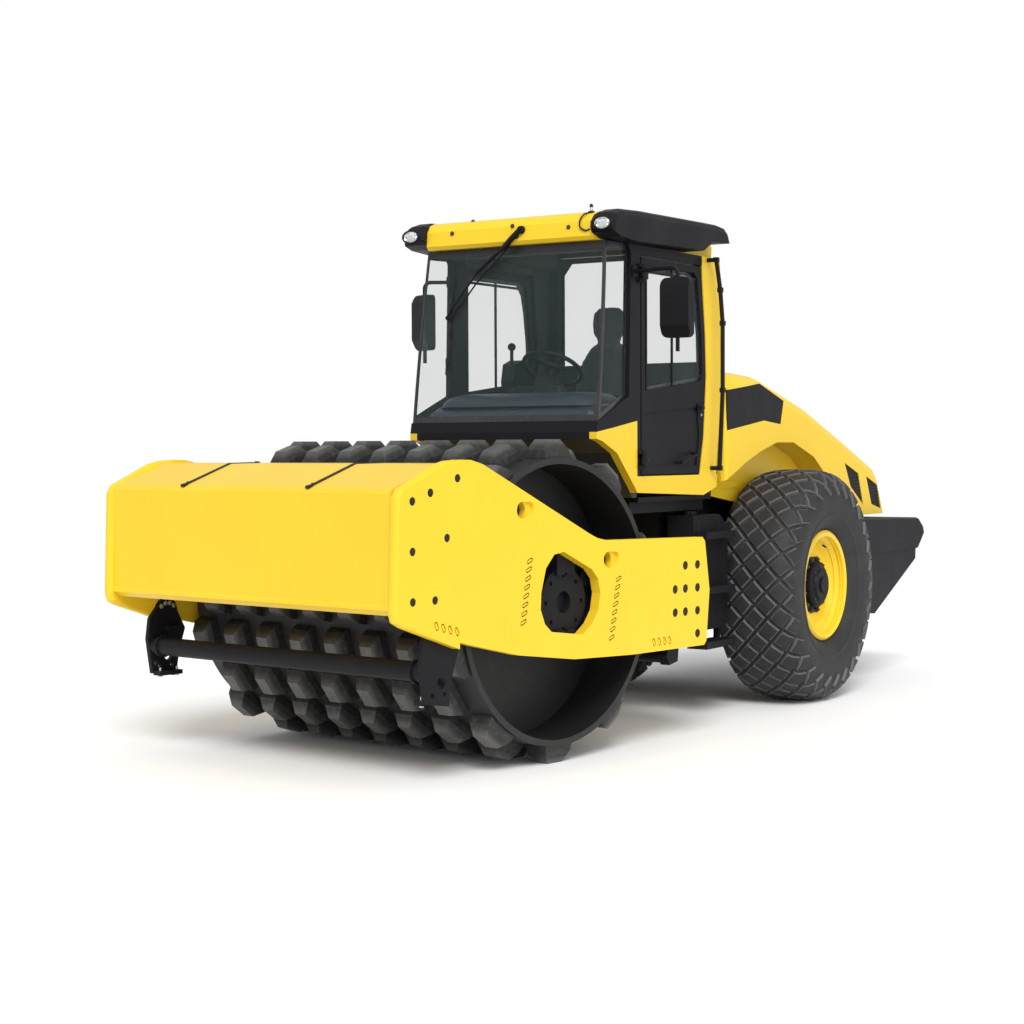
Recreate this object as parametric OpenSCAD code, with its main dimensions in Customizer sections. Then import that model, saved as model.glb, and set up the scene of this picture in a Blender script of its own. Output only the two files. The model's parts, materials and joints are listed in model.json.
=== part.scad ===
// Padfoot roller: a single-drum soil compactor with an articulated frame and a cab.
// Frame: X forward, Y to the machine's left, Z up, ground at z = 0, millimetres.
// The rear frame stands square to the axes. The front frame is turned by steer_rest
// about the kingpin, and everything is placed so that the part's bounding box is
// centred over the origin.

/* [Stance] */
// Steering angle the machine stands at, positive to the left
steer_rest = -9; // [-30:1:30]
// Distance from the kingpin forward to the drum axle
drum_reach = 1550; // [1520:10:1800]
// Distance from the kingpin back to the rear axle
axle_reach = 1530; // [1450:10:1700]

/* [Drum] */
// Radius of the drum shell
shell_r = 790; // [700:5:820]
// Width of the drum
drum_w = 2130; // [1900:10:2200]
// Height of each pad above the shell
pad_h = 100; // [60:5:120]
// Number of pad rows around the drum
pad_rows = 20; // [16:2:24]
// Pads in each full row; the rows between have one less
pads_per_row = 8; // [6:1:9]

/* [Front frame] */
// Outer width of the front frame
frame_w = 2330; // [2280:10:2500]
// Thickness of each side plate
plate_t = 60; // [30:5:70]
// Reach of the front box ahead of the drum axle
nose = 1355; // [1300:5:1600]

/* [Wheels] */
// Radius of the rear tyres
tyre_r = 790; // [720:5:830]
// Width of the rear tyres
tyre_w = 540; // [450:10:580]
// Distance between the tyre centres
track = 1560; // [1500:10:1800]
// Radius of the rim's outer flange
rim_r = 375; // [330:5:400]

/* [Cab] */
// Outer width of the cab body
cab_w = 1320; // [1240:10:1400]
// Height of the top of the roof above ground
roof_z = 3120; // [3040:10:3200]

/* [Rear] */
// Width of the hood
hood_w = 1350; // [1250:10:1500]
// Distance from the kingpin back to the end of the counterweight
tail = 3790; // [3700:10:4000]

/* [Hidden] */
$fn = 48;
// radial clearance of a pin in its bore
fit = 0.1;
// gap between pieces that are fitted face to face
seat_gap = 0.3;
// running gap between the pad tips and the front frame
drum_gap = 60;
plate_y = frame_w / 2;
plate_in = plate_y - plate_t;
half_drum = drum_w / 2;
drum_z = shell_r + pad_h;
nose_x = drum_reach + nose;
tip_x = nose_x + 35;
axle_x = -axle_reach;
hinge_z = 760;
cab_y = cab_w / 2;
wall = 50;
cab_in = cab_y - wall;
hood_y = hood_w / 2;
tyre_in = (track - tyre_w) / 2;
tyre_out = (track + tyre_w) / 2;
// extent of the turned front frame, for the placing over the origin
turn = steer_rest;
reach_x = max(tip_x * cos(turn) - plate_y * sin(turn), tip_x * cos(turn) + plate_y * sin(turn));
right_y = min(tip_x * sin(turn) - plate_y * cos(turn), -tyre_out);
left_y = max(tip_x * sin(turn) + plate_y * cos(turn), 290 * sin(turn) + plate_y * cos(turn), tyre_out);
centre_x = (reach_x - tail) / 2;
centre_y = (right_y + left_y) / 2;

yellow = [0.97, 0.80, 0.13];
black = [0.13, 0.13, 0.14];
steel = [0.20, 0.20, 0.21];
rubber = [0.10, 0.10, 0.10];
glass = [0.70, 0.78, 0.80, 0.4];
slate = [0.22, 0.26, 0.32];
chrome = [0.75, 0.76, 0.78];

// side plate outline, [distance ahead of the kingpin, height]
plate_outline = [
  [nose_x - 15, 1535], [nose_x - 265, 1648], [nose_x - 345, 1668], [nose_x - 435, 1674],
  [nose_x - 525, 1672], [nose_x - 615, 1650], [drum_reach - 130, 1262],
  [drum_reach - 200, 1235], [drum_reach - 280, 1220], [360, 1205], [335, 1180], [290, 890],
  [322, 590], [345, 566], [drum_reach - 510, 565], [drum_reach, 582],
  [drum_reach + 470, 642], [nose_x - 525, 722], [nose_x - 25, 846], [nose_x + 20, 870],
  [tip_x, 915], [nose_x + 15, 1490]
];
plate_window = [
  [drum_reach + 90, 1172], [drum_reach - 150, 1066], [drum_reach - 205, 1010],
  [drum_reach - 225, 930], [drum_reach - 205, 835], [drum_reach - 150, 765],
  [drum_reach - 70, 712], [drum_reach + 195, 745], [drum_reach + 250, 790],
  [drum_reach + 285, 870], [drum_reach + 280, 960], [drum_reach + 240, 1090],
  [drum_reach + 170, 1160]
];
// bolt holes in the side plate, [distance ahead of the kingpin, height, radius]
plate_holes = [
  [nose_x - 95, 1470, 22], [nose_x - 225, 1510, 22], [nose_x - 425, 1580, 22],
  [nose_x - 345, 1280, 22], [nose_x - 95, 1220, 22], [nose_x - 95, 970, 22],
  [nose_x - 255, 970, 22], [530, 1045, 26], [410, 1045, 26], [630, 910, 26], [530, 910, 26],
  [410, 910, 26], [630, 775, 26], [530, 775, 26], [410, 775, 26], [410, 640, 26]
];
eye_r = 45;
eye_recess = 20;
lifting_eyes = [[drum_reach + 430, 1405], [drum_reach - 300, 1112]];
// rows of plug welds, [first x, first z, last x, last z, count]
weld_rows = [
  [drum_reach + 370, 1135, drum_reach + 425, 812, 8],
  [drum_reach - 388, 1000, drum_reach - 325, 676, 8]
];

// profile in the XZ plane, extruded between two Y values
module xz(points, y0, y1) {
  translate([0, y1, 0]) rotate([90, 0, 0]) linear_extrude(height = y1 - y0) polygon(points);
}

// profile in the XY plane, extruded between two heights
module xy(points, z0, z1) {
  translate([0, 0, z0]) linear_extrude(height = z1 - z0) polygon(points);
}

// profile in the YZ plane, extruded between two X values
module yz(points, x0, x1) {
  translate([x0, 0, 0]) rotate([90, 0, 90]) linear_extrude(height = x1 - x0) polygon(points);
}

module block(x0, x1, y0, y1, z0, z1) {
  translate([x0, y0, z0]) cube([x1 - x0, y1 - y0, z1 - z0]);
}

module cyl_y(x, z, y0, y1, r) {
  translate([x, y1, z]) rotate([90, 0, 0]) cylinder(h = y1 - y0, r = r);
}

module cyl_x(y, z, x0, x1, r) {
  translate([x0, y, z]) rotate([0, 90, 0]) cylinder(h = x1 - x0, r = r);
}

module cyl_z(x, y, z0, z1, r) {
  translate([x, y, z0]) cylinder(h = z1 - z0, r = r);
}

// slot with round ends between two points of the XZ plane
module slot(a, b, r, y0, y1) {
  d = b - a;
  translate([a[0], 0, a[1]])
  rotate([0, -atan2(d[1], d[0]), 0]) {
    cyl_y(0, 0, y0, y1, r);
    cyl_y(norm(d), 0, y0, y1, r);
    block(0, norm(d), y0, y1, -r, r);
  }
}

// round bar between two points
module bar(a, b, r) {
  d = b - a;
  translate(a) rotate([0, acos(d[2] / norm(d)), atan2(d[1], d[0])]) cylinder(h = norm(d), r = r);
}

// bent tube through a list of points
module tube_path(points, r) {
  for (i = [0 : len(points) - 2]) bar(points[i], points[i + 1], r);
  for (i = [1 : len(points) - 2]) translate(points[i]) cube(2.2 * r, center = true);
}

// cutter that rounds the edge from a to b on the face at y; the solid is below the line
// and lies on the side of the face away from out
module edge_cut(a, b, y, r, out) {
  d = b - a;
  translate([a[0], y, a[1]])
  rotate([0, -atan2(d[1], d[0]), 0])
  translate([-r, 0, 0])
  rotate([90, 0, 90])
  linear_extrude(height = norm(d) + 2 * r)
  mirror([out > 0 ? 0 : 1, 0])
  difference() {
    translate([-r, -r]) square(r + 5);
    translate([-r, -r]) circle(r = r);
  }
}

// rounds the edges along a line of points, on both faces
module edge_cuts(points, y0, y1, r) {
  for (i = [0 : len(points) - 2]) {
    edge_cut(points[i], points[i + 1], y1, r, 1);
    edge_cut(points[i], points[i + 1], y0, r, -1);
  }
}

// line of points moved inwards by d, square to its own edges; the solid lies below it
function normal(a, b) = [a[1] - b[1], b[0] - a[0]] / norm(b - a);
function inset(p, d) = [for (i = [0 : len(p) - 1]) let (
  n0 = normal(p[max(i - 1, 0)], p[max(i, 1)]),
  n1 = normal(p[min(i, len(p) - 2)], p[min(i + 1, len(p) - 1)]))
  p[i] - (n0 + n1) * (d / (1 + n0 * n1))];

// convex solid under a line of points, with its outer edges bevelled in two flats
module crowned(line, foot, y0, y1, c) {
  hull()
  for (s = [[c, 0], [0.3 * c, 0.3 * c], [0, c]])
    xz(concat(inset(line, s[1]), foot), y0 + s[0], y1 - s[0]);
}

// rectangle with round corners, as a list of points
function round_rect(x0, x1, y0, y1, r) = [
  for (c = [[x1 - r, y1 - r, 0], [x0 + r, y1 - r, 90], [x0 + r, y0 + r, 180], [x1 - r, y0 + r, 270]])
    for (a = [0 : 18 : 90]) [c[0] + r * cos(c[2] + a), c[1] + r * sin(c[2] + a)]
];

module on_right() {
  mirror([0, 1, 0]) children();
}

module rear_pose() {
  translate([-centre_x, -centre_y, 0]) children();
}

module front_pose() {
  translate([-centre_x, -centre_y, 0]) rotate([0, 0, steer_rest]) children();
}

// Front frame: two thick side plates, the front box and the rear crossmember.
module side_plate() {
  top = [for (i = [3 : -1 : 0]) plate_outline[i]];
  front = [for (i = [21 : -1 : 17]) plate_outline[i]];
  split = nose_x - 435;
  difference() {
    union() {
      intersection() {
        xz(plate_outline, plate_in, plate_y);
        block(0, split, plate_in, plate_y, 0, 2000);
      }
      intersection() {
        crowned(concat(top, front), [[split - 90, 680], [split - 90, 1674]], plate_in, plate_y,
                plate_t * 0.36);
        block(split, tip_x + 10, plate_in, plate_y, 0, 2000);
      }
    }
    xz(plate_window, plate_in - 1, plate_y + 1);
    for (h = plate_holes) cyl_y(h[0], h[1], plate_y - plate_t / 2, plate_y + 1, h[2]);
    for (h = lifting_eyes) {
      cyl_y(h[0], h[1], plate_in - 1, plate_y + 1, eye_r);
      cyl_y(h[0] - 62, h[1] + 12, plate_y - eye_recess, plate_y + 1, 30);
      xz([[h[0], h[1] + eye_r], [h[0], h[1] - eye_r], [h[0] - 76, h[1] - 14],
          [h[0] - 62, h[1] + 42]], plate_y - eye_recess, plate_y + 1);
    }
    for (w = weld_rows)
      for (i = [0 : w[4] - 1]) {
        t = i / (w[4] - 1);
        x = w[0] + (w[2] - w[0]) * t;
        z = w[1] + (w[3] - w[1]) * t;
        slot([x - 14, z + 6], [x + 14, z - 6], 12, plate_y - 8, plate_y + 1);
      }
    for (x = [nose_x - 420 : 50 : nose_x - 270])
      slot([x, 790 + (x - nose_x + 420) * 0.25], [x + 10, 812 + (x - nose_x + 420) * 0.25], 13,
           plate_y - 12, plate_y + 1);
    for (x = [drum_reach - 870 : 50 : drum_reach - 720])
      slot([x, 608], [x + 10, 630], 13, plate_y - 12, plate_y + 1);
  }
}

module side_plate_left() {
  color(yellow) side_plate();
}

module side_plate_right() {
  color(yellow) on_right() side_plate();
}

// front box: its back follows the pad tips at a running gap
module front_box() {
  back_r = drum_z + drum_gap;
  back = [for (a = [34 : -4 : 2]) [drum_reach + back_r * cos(a), drum_z + back_r * sin(a)]];
  color(yellow)
  difference() {
    xz(concat([[nose_x - 6, 925], [nose_x + 10, 929], [nose_x + 10, 946], [nose_x, 958],
               [nose_x, 1508], [nose_x - 12, 1528], [nose_x - 45, 1545],
               [drum_reach + 1010, 1652], [drum_reach + 800, 1656]],
              back, [[drum_reach + back_r, 900], [nose_x - 40, 900]]),
       -plate_in, plate_in);
    for (y = [-500, 500])
      xz([[nose_x + 1, 1524], [nose_x - 45, 1535], [drum_reach + 1010, 1642],
          [drum_reach + 790, 1646], [drum_reach + 790, 1700], [nose_x + 1, 1700]],
         y - 13, y + 13);
    xz([[nose_x - 120, 890], [nose_x - 160, 1080], [drum_reach + back_r + 90, 1080],
        [drum_reach + back_r + 50, 890]], -plate_in + 220, -40);
    xz([[nose_x - 120, 890], [nose_x - 160, 1080], [drum_reach + back_r + 90, 1080],
        [drum_reach + back_r + 50, 890]], 40, plate_in - 220);
  }
}

// crossmember with the oscillation bearing and its bolted flange
module rear_crossmember() {
  color(yellow)
  difference() {
    union() {
      xz([[340, 600], [560, 600], [590, 640], [590, 1060], [520, 1180], [340, 1180]],
         -plate_in, plate_in);
      cyl_x(0, hinge_z, 290, 341, 170);
    }
    cyl_x(0, hinge_z, 280, 600, 90 + fit);
    for (side = [-1, 1]) {
      xz([[330, 680], [420, 700], [420, 1080], [330, 1100]],
         side > 0 ? 260 : 260 - plate_in, side > 0 ? plate_in - 260 : -260);
    }
  }
}

// scraper beams: a tube between two brackets that hang from the side plates
scraper_x = drum_reach + 1080;
scraper_z = 600;
scraper_r = 52;
bracket_t = 28;

module scraper_bracket() {
  y1 = plate_in - seat_gap;
  y0 = y1 - bracket_t;
  difference() {
    union() {
      xz([[scraper_x - 210, 690], [scraper_x - 150, 800], [scraper_x - 10, 820],
          [scraper_x + 45, 760], [scraper_x + 62, 640], [scraper_x + 30, 440],
          [scraper_x - 140, 415], [scraper_x - 165, 560]], y0, y1);
      cyl_y(scraper_x - 80, 800, y0, y1, 72);
      xz([[scraper_x - 150, 690], [scraper_x - 40, 690], [scraper_x - 40, 712],
          [scraper_x - 150, 712]], y0 - 60, y0 + 1);
      xz([[scraper_x - 140, 430], [scraper_x + 25, 430], [scraper_x + 25, 455],
          [scraper_x - 140, 455]], y0 - 60, y0 + 1);
    }
    cyl_y(scraper_x - 85, 540, y0 - 1, y1 + 1, 30);
    cyl_y(scraper_x - 20, 480, y0 - 1, y1 + 1, 12);
    cyl_y(scraper_x - 110, 480, y0 - 1, y1 + 1, 12);
  }
}

module scraper_front() {
  bar_y = plate_in - bracket_t;
  color(black)
  union() {
    cyl_y(scraper_x, scraper_z, -bar_y - 5, bar_y + 5, scraper_r);
    scraper_bracket();
    on_right() scraper_bracket();
    for (side = [-1, 1])
      cyl_y(scraper_x, scraper_z, side * (bar_y - 60) - 8, side * (bar_y - 60) + 8, scraper_r + 12);
  }
}

module scraper_rear() {
  x = drum_reach - 970;
  bar_y = half_drum - 30;
  color(black)
  union() {
    cyl_y(x, 520, -bar_y - 10, bar_y + 10, 50);
    for (side = [0, 1]) mirror([0, side, 0]) {
      xz([[x - 75, 600], [x - 60, 480], [x + 20, 462], [x + 50, 520], [x + 10, 600]],
         bar_y, plate_in - 5);
    }
  }
}

// drum mount: a bolted disc on rubber buffers, its arms to the side plate and the stub shaft
web_o = half_drum - 325;
web_i = web_o - 40;
hub_bore = 80;

module drum_mount() {
  disc_y = plate_in - 95;
  difference() {
    union() {
      cyl_y(drum_reach, drum_z, disc_y, disc_y + 28, 300);
      cyl_y(drum_reach, drum_z, disc_y + 20, plate_in - 20, 190);
      for (a = [30 : 60 : 330])
        cyl_y(drum_reach + 245 * cos(a), drum_z + 245 * sin(a), disc_y + 27, disc_y + 60, 48);
      block(drum_reach - 75, drum_reach + 75, disc_y + 27, plate_in, drum_z + 150, drum_z + 350);
      block(drum_reach - 75, drum_reach + 75, disc_y + 27, plate_in, drum_z - 250, drum_z - 150);
      cyl_y(drum_reach, drum_z, web_o + 22, disc_y + 1, 150);
      cyl_y(drum_reach, drum_z, web_o - 38, web_o + 23, hub_bore);
    }
    cyl_y(drum_reach, drum_z, plate_in - 60, plate_in, 60);
    for (a = [0 : 45 : 315])
      cyl_y(drum_reach + 150 * cos(a), drum_z + 150 * sin(a), plate_in - 32, plate_in, 13);
  }
}

module drum_mount_left() {
  color(steel) drum_mount();
}

module drum_mount_right() {
  color(steel) on_right() drum_mount();
}

// one row of pads: a comb along the drum cut by the pad's own side profile
module pad_row(count, pitch) {
  base = 74;
  knee = 68;
  top = 42;
  knee_r = shell_r + pad_h * 0.42;
  root = shell_r - 10;
  edge = half_drum - 12;
  comb = [for (k = [0 : count - 1]) let (y = (k - (count - 1) / 2) * pitch)
    each [[y - base, root], [y - knee, knee_r], [y - top, drum_z], [y + top, drum_z],
          [y + knee, knee_r], [y + base, root]]];
  intersection() {
    yz(concat([[-edge, root - 15]], comb, [[edge, root - 15]]), -140, 140);
    xz([[-112, root - 12], [112, root - 12], [102, knee_r], [58, drum_z], [-58, drum_z],
        [-102, knee_r]], -edge, edge);
  }
}

module drum() {
  pitch = (drum_w - 180) / (pads_per_row - 1);
  inner = shell_r - 35;
  color(steel)
  translate([drum_reach, 0, drum_z])
  union() {
    rotate([90, 0, 0])
    rotate([0, 0, 180 / pad_rows])
    rotate_extrude()
    polygon([[shell_r, -half_drum], [shell_r, half_drum], [inner, half_drum], [inner, web_o],
             [180, web_o], [150, web_o + 20], [hub_bore + fit, web_o + 20],
             [hub_bore + fit, web_i - 10], [140, web_i - 10], [140, web_i], [inner, web_i],
             [inner, -web_i], [140, -web_i], [140, 10 - web_i], [hub_bore + fit, 10 - web_i],
             [hub_bore + fit, -web_o - 20], [150, -web_o - 20], [180, -web_o],
             [inner, -web_o], [inner, -half_drum]]);
    for (i = [0 : pad_rows - 1])
      rotate([0, 180 + i * 360 / pad_rows, 0])
        pad_row(pads_per_row - i % 2, pitch);
  }
}

// Centre joint: the kingpin post, the oscillation shaft and the steering arms.
arm_x = 130;
arm_y = 360;
arm_gap = 35;
arm_t = 25;

module centre_joint() {
  color(steel)
  union() {
    cyl_z(0, 0, 572, 948, 70);
    cyl_z(0, 0, 630, 890, 130);
    block(60, 262, -110, 110, 650, 870);
    cyl_x(0, hinge_z, 260, 605, 90);
    cyl_x(0, hinge_z, 604, 628, 125);
    for (z = [hinge_z - arm_gap - arm_t, hinge_z + arm_gap]) {
      xy([[20, -130], [arm_x - 40, -arm_y], [arm_x + 40, -arm_y], [180, -110],
          [180, 110], [arm_x + 40, arm_y], [arm_x - 40, arm_y], [20, 130]], z, z + arm_t);
      for (side = [-1, 1]) cyl_z(arm_x, side * arm_y, z, z + arm_t, 40);
    }
    for (side = [-1, 1])
      for (z = [hinge_z - arm_gap - arm_t - 14, hinge_z + arm_gap + arm_t - 1])
        cyl_z(arm_x, side * arm_y, z, z + 15, 27);
  }
}

// Steering cylinders: the rod's eye is the pivot that is left open.
pin_x = -900;
pin_y = 350;
pin_r = 25;
eye_h = 28;
function eye(side) = [
  arm_x * cos(steer_rest) - side * arm_y * sin(steer_rest),
  arm_x * sin(steer_rest) + side * arm_y * cos(steer_rest)
];
function cyl_vec(side) = eye(side) - [pin_x, side * pin_y];
function cyl_len(side) = norm(cyl_vec(side));
function cyl_turn(side) = atan2(cyl_vec(side)[1], cyl_vec(side)[0]);

module at_cylinder(side) {
  translate([pin_x, side * pin_y, hinge_z]) rotate([0, 0, cyl_turn(side)]) children();
}

module barrel(side) {
  at_cylinder(side)
  difference() {
    union() {
      translate([82, 0, 0]) rotate([0, 90, 0]) cylinder(h = 500, r = 52);
      translate([580, 0, 0]) rotate([0, 90, 0]) cylinder(h = 40, r = 58);
      translate([0, 0, -eye_h]) cylinder(h = 2 * eye_h, r = 46);
      translate([0, -25, -eye_h]) cube([90, 50, 2 * eye_h]);
      translate([110, -14, 50]) cube([36, 28, 22]);
      translate([520, -14, 50]) cube([36, 28, 22]);
    }
    translate([0, 0, -40]) cylinder(h = 80, r = pin_r + fit);
    translate([110, 0, 0]) rotate([0, 90, 0]) cylinder(h = 520, r = 30 + fit);
  }
}

module rod(side) {
  l = cyl_len(side);
  at_cylinder(side)
  union() {
    translate([l - 590, 0, 0]) rotate([0, 90, 0]) cylinder(h = 560, r = 30);
    translate([l, 0, -eye_h]) cylinder(h = 2 * eye_h, r = 46);
    translate([l, 0, 1 - arm_gap]) cylinder(h = 2 * arm_gap - 2, r = pin_r);
  }
}

module barrel_left() {
  color(black) barrel(1);
}

module barrel_right() {
  color(black) barrel(-1);
}

module rod_left() {
  color(chrome) rod(1);
}

module rod_right() {
  color(chrome) rod(-1);
}

// Rear frame: two deep beams from the kingpin forks back past the axle.
beam_y = 220;
beam_t = 40;
chassis_end = axle_x - 890;

module rear_chassis() {
  color(black)
  union() {
    block(-260, -beam_y, -beam_y, beam_y, 520, 1010);
    for (z = [572, 895])
      difference() {
        union() {
          xy([[-222, -180], [0, -110], [0, 110], [-222, 180]], z, z + 53);
          cyl_z(0, 0, z, z + 53, 110);
        }
        cyl_z(0, 0, z - 1, z + 60, 70 + fit);
      }
    for (side = [-1, 1]) {
      difference() {
        xz([[-259, 560], [-259, 981], [chassis_end, 981], [chassis_end, 620],
            [axle_x - 400, 560]],
           side > 0 ? beam_y - beam_t : -beam_y, side > 0 ? beam_y : beam_t - beam_y);
        cyl_y(axle_x, tyre_r, -300, 300, 110);
      }
      for (z = [[hinge_z - 90, hinge_z - 40], [hinge_z + 40, hinge_z + 90]])
        clevis_lug(side, z[0], z[1]);
      cyl_z(pin_x, side * pin_y, hinge_z - 100, hinge_z + 100, pin_r);
    }
    block(chassis_end - 20, chassis_end + 1, -440, 440, 560, 1010);
    block(chassis_end - 20, -259, -440, 440, 980, 1010);
    block(-430, -225, -400, 400, 1009, 1330);
  }
}

// clevis plate with a round end for a steering cylinder
module clevis_lug(side, z0, z1) {
  block(pin_x - 60, pin_x + 60, side > 0 ? beam_y - 1 : -pin_y, side > 0 ? pin_y : 1 - beam_y,
        z0, z1);
  cyl_z(pin_x, side * pin_y, z0, z1, 60);
}

module rear_axle() {
  stub = track / 2 - 190;
  color(black)
  translate([axle_x, 0, tyre_r])
  rotate([90, 0, 0])
  rotate_extrude()
  polygon([[0, -stub - 100], [hub_bore, -stub - 100], [hub_bore, -stub], [110, -stub],
           [110, -150], [175, -90], [175, 90], [110, 150], [110, stub], [hub_bore, stub],
           [hub_bore, stub + 100], [0, stub + 100]]);
}

module engine_block() {
  x0 = chassis_end + 30;
  color(steel)
  union() {
    block(x0, -900, -330, 330, 1010, 1560);
    block(x0 + 250, -1000, -230, 230, 1560, 1700);
    for (x = [x0 + 300 : 150 : -1150]) block(x, x + 90, -190, 190, 1699, 1730);
  }
}

// side tank with the ladder steps on its outer face
tank_front = -200;
tank_in = 476;
tank_out = 660;

module tank() {
  back = axle_x + tyre_r + 45;
  union() {
    xz([[back, 600], [back + 40, 560], [tank_front - 50, 560], [tank_front, 640],
        [tank_front, 1300], [back + 120, 1300], [back, 1220]], tank_in, tank_out);
    block(back + 60, tank_front - 20, beam_y, tank_in + 1, 600, 640);
    block(back + 60, tank_front - 20, beam_y, tank_in + 1, 940, 975);
    for (z = [450, 800, 1150])
      difference() {
        xz([[back + 50, z], [tank_front - 30, z], [tank_front - 30, z + 45],
            [back + 50, z + 45]], tank_out - 60, tank_out + 80);
        xz([[back + 70, z + 12], [tank_front - 50, z + 12], [tank_front - 50, z + 60],
            [back + 70, z + 60]], tank_out + 20, tank_out + 66);
      }
    for (x = [back + 70, tank_front - 80]) block(x, x + 24, tank_out - 59, tank_out - 20, 450, 600);
  }
}

module tank_left() {
  color(black) tank();
}

module tank_right() {
  color(black) on_right() tank();
}

// counterweight: a heavy casting behind the axle with a bumper lip along its top
cw_y = 880;

module counterweight() {
  front = chassis_end - 20;
  lip = [[70 - tail, 1000], [-tail, 1060], [30 - tail, 1120], [130 - tail, 1185], [front, 1215]];
  color(black)
  difference() {
    union() {
      crowned(lip, [[front, 950], [180 - tail, 950]], -cw_y, cw_y, 36);
      xz([[front, 951], [190 - tail, 951], [195 - tail, 870], [axle_x - 1220, 500],
          [axle_x - 1060, 560], [front, 800]], -cw_y + 14, cw_y - 14);
    }
    cyl_x(0, 760, -tail, 330 - tail, 45);
    block(front, front + 20, -cw_y, cw_y, 400, 1300);
  }
}

// Hood: outline of its top from the back to the front, and of the wheel arch.
hood_front = -632;
hood_back = 330 - tail;
hood_low = 1222;
arch_z = 2 * tyre_r;
hood_in = tyre_in - 20;
hood_t = 25;
hood_top = [
  [hood_back, hood_low], [hood_back + 49, 1375], [hood_back + 120, 1505],
  [hood_back + 210, 1583], [hood_back + 513, 1688], [hood_back + 965, 1840],
  [axle_x - 419, 2020], [axle_x + 38, 2131], [axle_x + 363, 2209], [-880, 2226],
  [hood_front, 2226]
];
hood_arch = [
  [hood_front + 92, 1480], [axle_x + 878, 1520], [axle_x + 574, arch_z + 58],
  [axle_x + 364, arch_z + 124], [axle_x + 93, arch_z + 187], [axle_x - 187, arch_z + 187],
  [axle_x - 537, arch_z + 85], [axle_x - 760, arch_z - 50], [axle_x - 950, 1370],
  [axle_x - 1040, hood_low]
];

// outline of the hood's underside, from the front back, moved up by t
function hood_under(t) = concat(
  [[hood_front - t, 1960], hood_arch[0] + [-t, t]],
  [for (i = [1 : 6]) hood_arch[i] + [0, t]],
  [hood_arch[7] + [-t * 0.6, t * 0.8], hood_arch[8] + [-t, t / 2], hood_arch[9] + [-t, -t / 5]]
);

// the hood's outer form, or its hollow when t is the wall
module hood_form(t) {
  line = inset(concat(hood_top, [[hood_front, 1960]]), t);
  intersection() {
    crowned(line, [[hood_front - t, 1100], [hood_back + t, 1100]], t - hood_y, hood_y - t, 84 - t);
    xz(concat([[hood_back + t, hood_low - t], [hood_back + t, 2300], [hood_front - t, 2300]],
              hood_under(t)), t - hood_y, hood_y - t);
  }
}

// the engine cover between the wheel arches, open below
module hood_tunnel(t) {
  xz([[hood_front + (t > 0 ? 120 : 60) + t, t > 0 ? 1000 : 1440], [hood_front + t, 1900],
      [axle_x, 1900], [axle_x - 900, 1560], [axle_x - 1100 + t, 1400],
      [axle_x - 1100 + t, t > 0 ? 1000 : hood_low], [axle_x + 380, t > 0 ? 1000 : 1365]],
     t - hood_in, hood_in - t);
}

hood_hinge_x = hood_front - 70;
hood_hinge_z = 2242;
hood_hinge_y = cab_in - 40;

module hood() {
  color(yellow)
  union() {
    difference() {
      union() {
        hood_form(0);
        hood_tunnel(0);
        for (side = [-1, 1])
          for (z = [1460 : 52 : 1720])
            block(axle_x + 330, hood_front - 30, side > 0 ? hood_in - 1 : -hood_in - 7,
                  side > 0 ? hood_in + 7 : 1 - hood_in, z, z + 14);
      }
      hood_form(hood_t);
      hood_tunnel(hood_t);
      for (side = [-1, 1])
        for (g = hood_vents)
          xz(g, side > 0 ? hood_y - 12 : -hood_y - 1, side > 0 ? hood_y + 1 : 12 - hood_y);
    }
    for (y = [-hood_hinge_y, hood_hinge_y])
      difference() {
        union() {
          cyl_y(hood_hinge_x, hood_hinge_z, y - 22, y + 22, 17);
          block(hood_hinge_x - 40, hood_hinge_x, y - 22, y + 22, 2222, hood_hinge_z + 8);
        }
        cyl_y(hood_hinge_x, hood_hinge_z, y - 30, y + 30, 8 + fit);
      }
  }
}

// vents sunk into the hood sides
hood_vents = [
  [[hood_front - 40, arch_z + 265], [hood_front - 34, 2108], [axle_x + 363, 2162],
   [axle_x - 25, 2054], [axle_x + 27, arch_z + 311], [axle_x + 299, arch_z + 334]],
  [[hood_back + 824, 1618], [hood_back + 558, 1536], [hood_back + 458, 1297],
   [hood_back + 708, 1439]],
  [[hood_back + 405, 1514], [hood_back + 174, 1442], [hood_back + 104, 1260],
   [hood_back + 296, 1299]]
];

// vent insert with slanted louvres
module hood_vent(points, low, high) {
  intersection() {
    xz(points, hood_y - 12, hood_y - 2);
    union() {
      xz(points, hood_y - 12, hood_y - 7);
      for (z = [low : 26 : high])
        translate([0, hood_y - 7, z]) rotate([30, 0, 0]) translate([-4000, 0, 0]) cube([4000, 5, 12]);
    }
  }
}

module hood_grilles() {
  color(black)
  for (side = [0, 1])
    mirror([0, side, 0]) {
      xz(hood_vents[0], hood_y - 12, hood_y - 4);
      hood_vent(hood_vents[1], 1300, 1620);
      hood_vent(hood_vents[2], 1262, 1520);
    }
}

// Cab: sill, pillars, glass, door and roof.
cab_back = -600;
sill_z = 1560;
belt_z = 1894;
head_z = 2890;
eave_z = 2950;
// rear edge of the door opening, [x, height]
pillar_front = [[-292, sill_z], [-350, 1800], [-388, 2186], [-376, 2450], [-325, 2890], [-325, eave_z]];
pillar_back = [[cab_back, eave_z], [-618, 2450], [-624, 2190], [-575, 1800], [-540, sill_z]];

module cab_floor() {
  color(black)
  union() {
    block(-550, 440, -cab_in, cab_in, 1400, 1430);
    xz([[-550, 1330], [440, 1330], [440, 1401], [-550, 1401]], -cab_in + 60, cab_in - 60);
    for (x = [-380, 300])
      for (side = [-1, 1]) cyl_z(x, side * 420, 1400, 1445, 55);
  }
}

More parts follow.
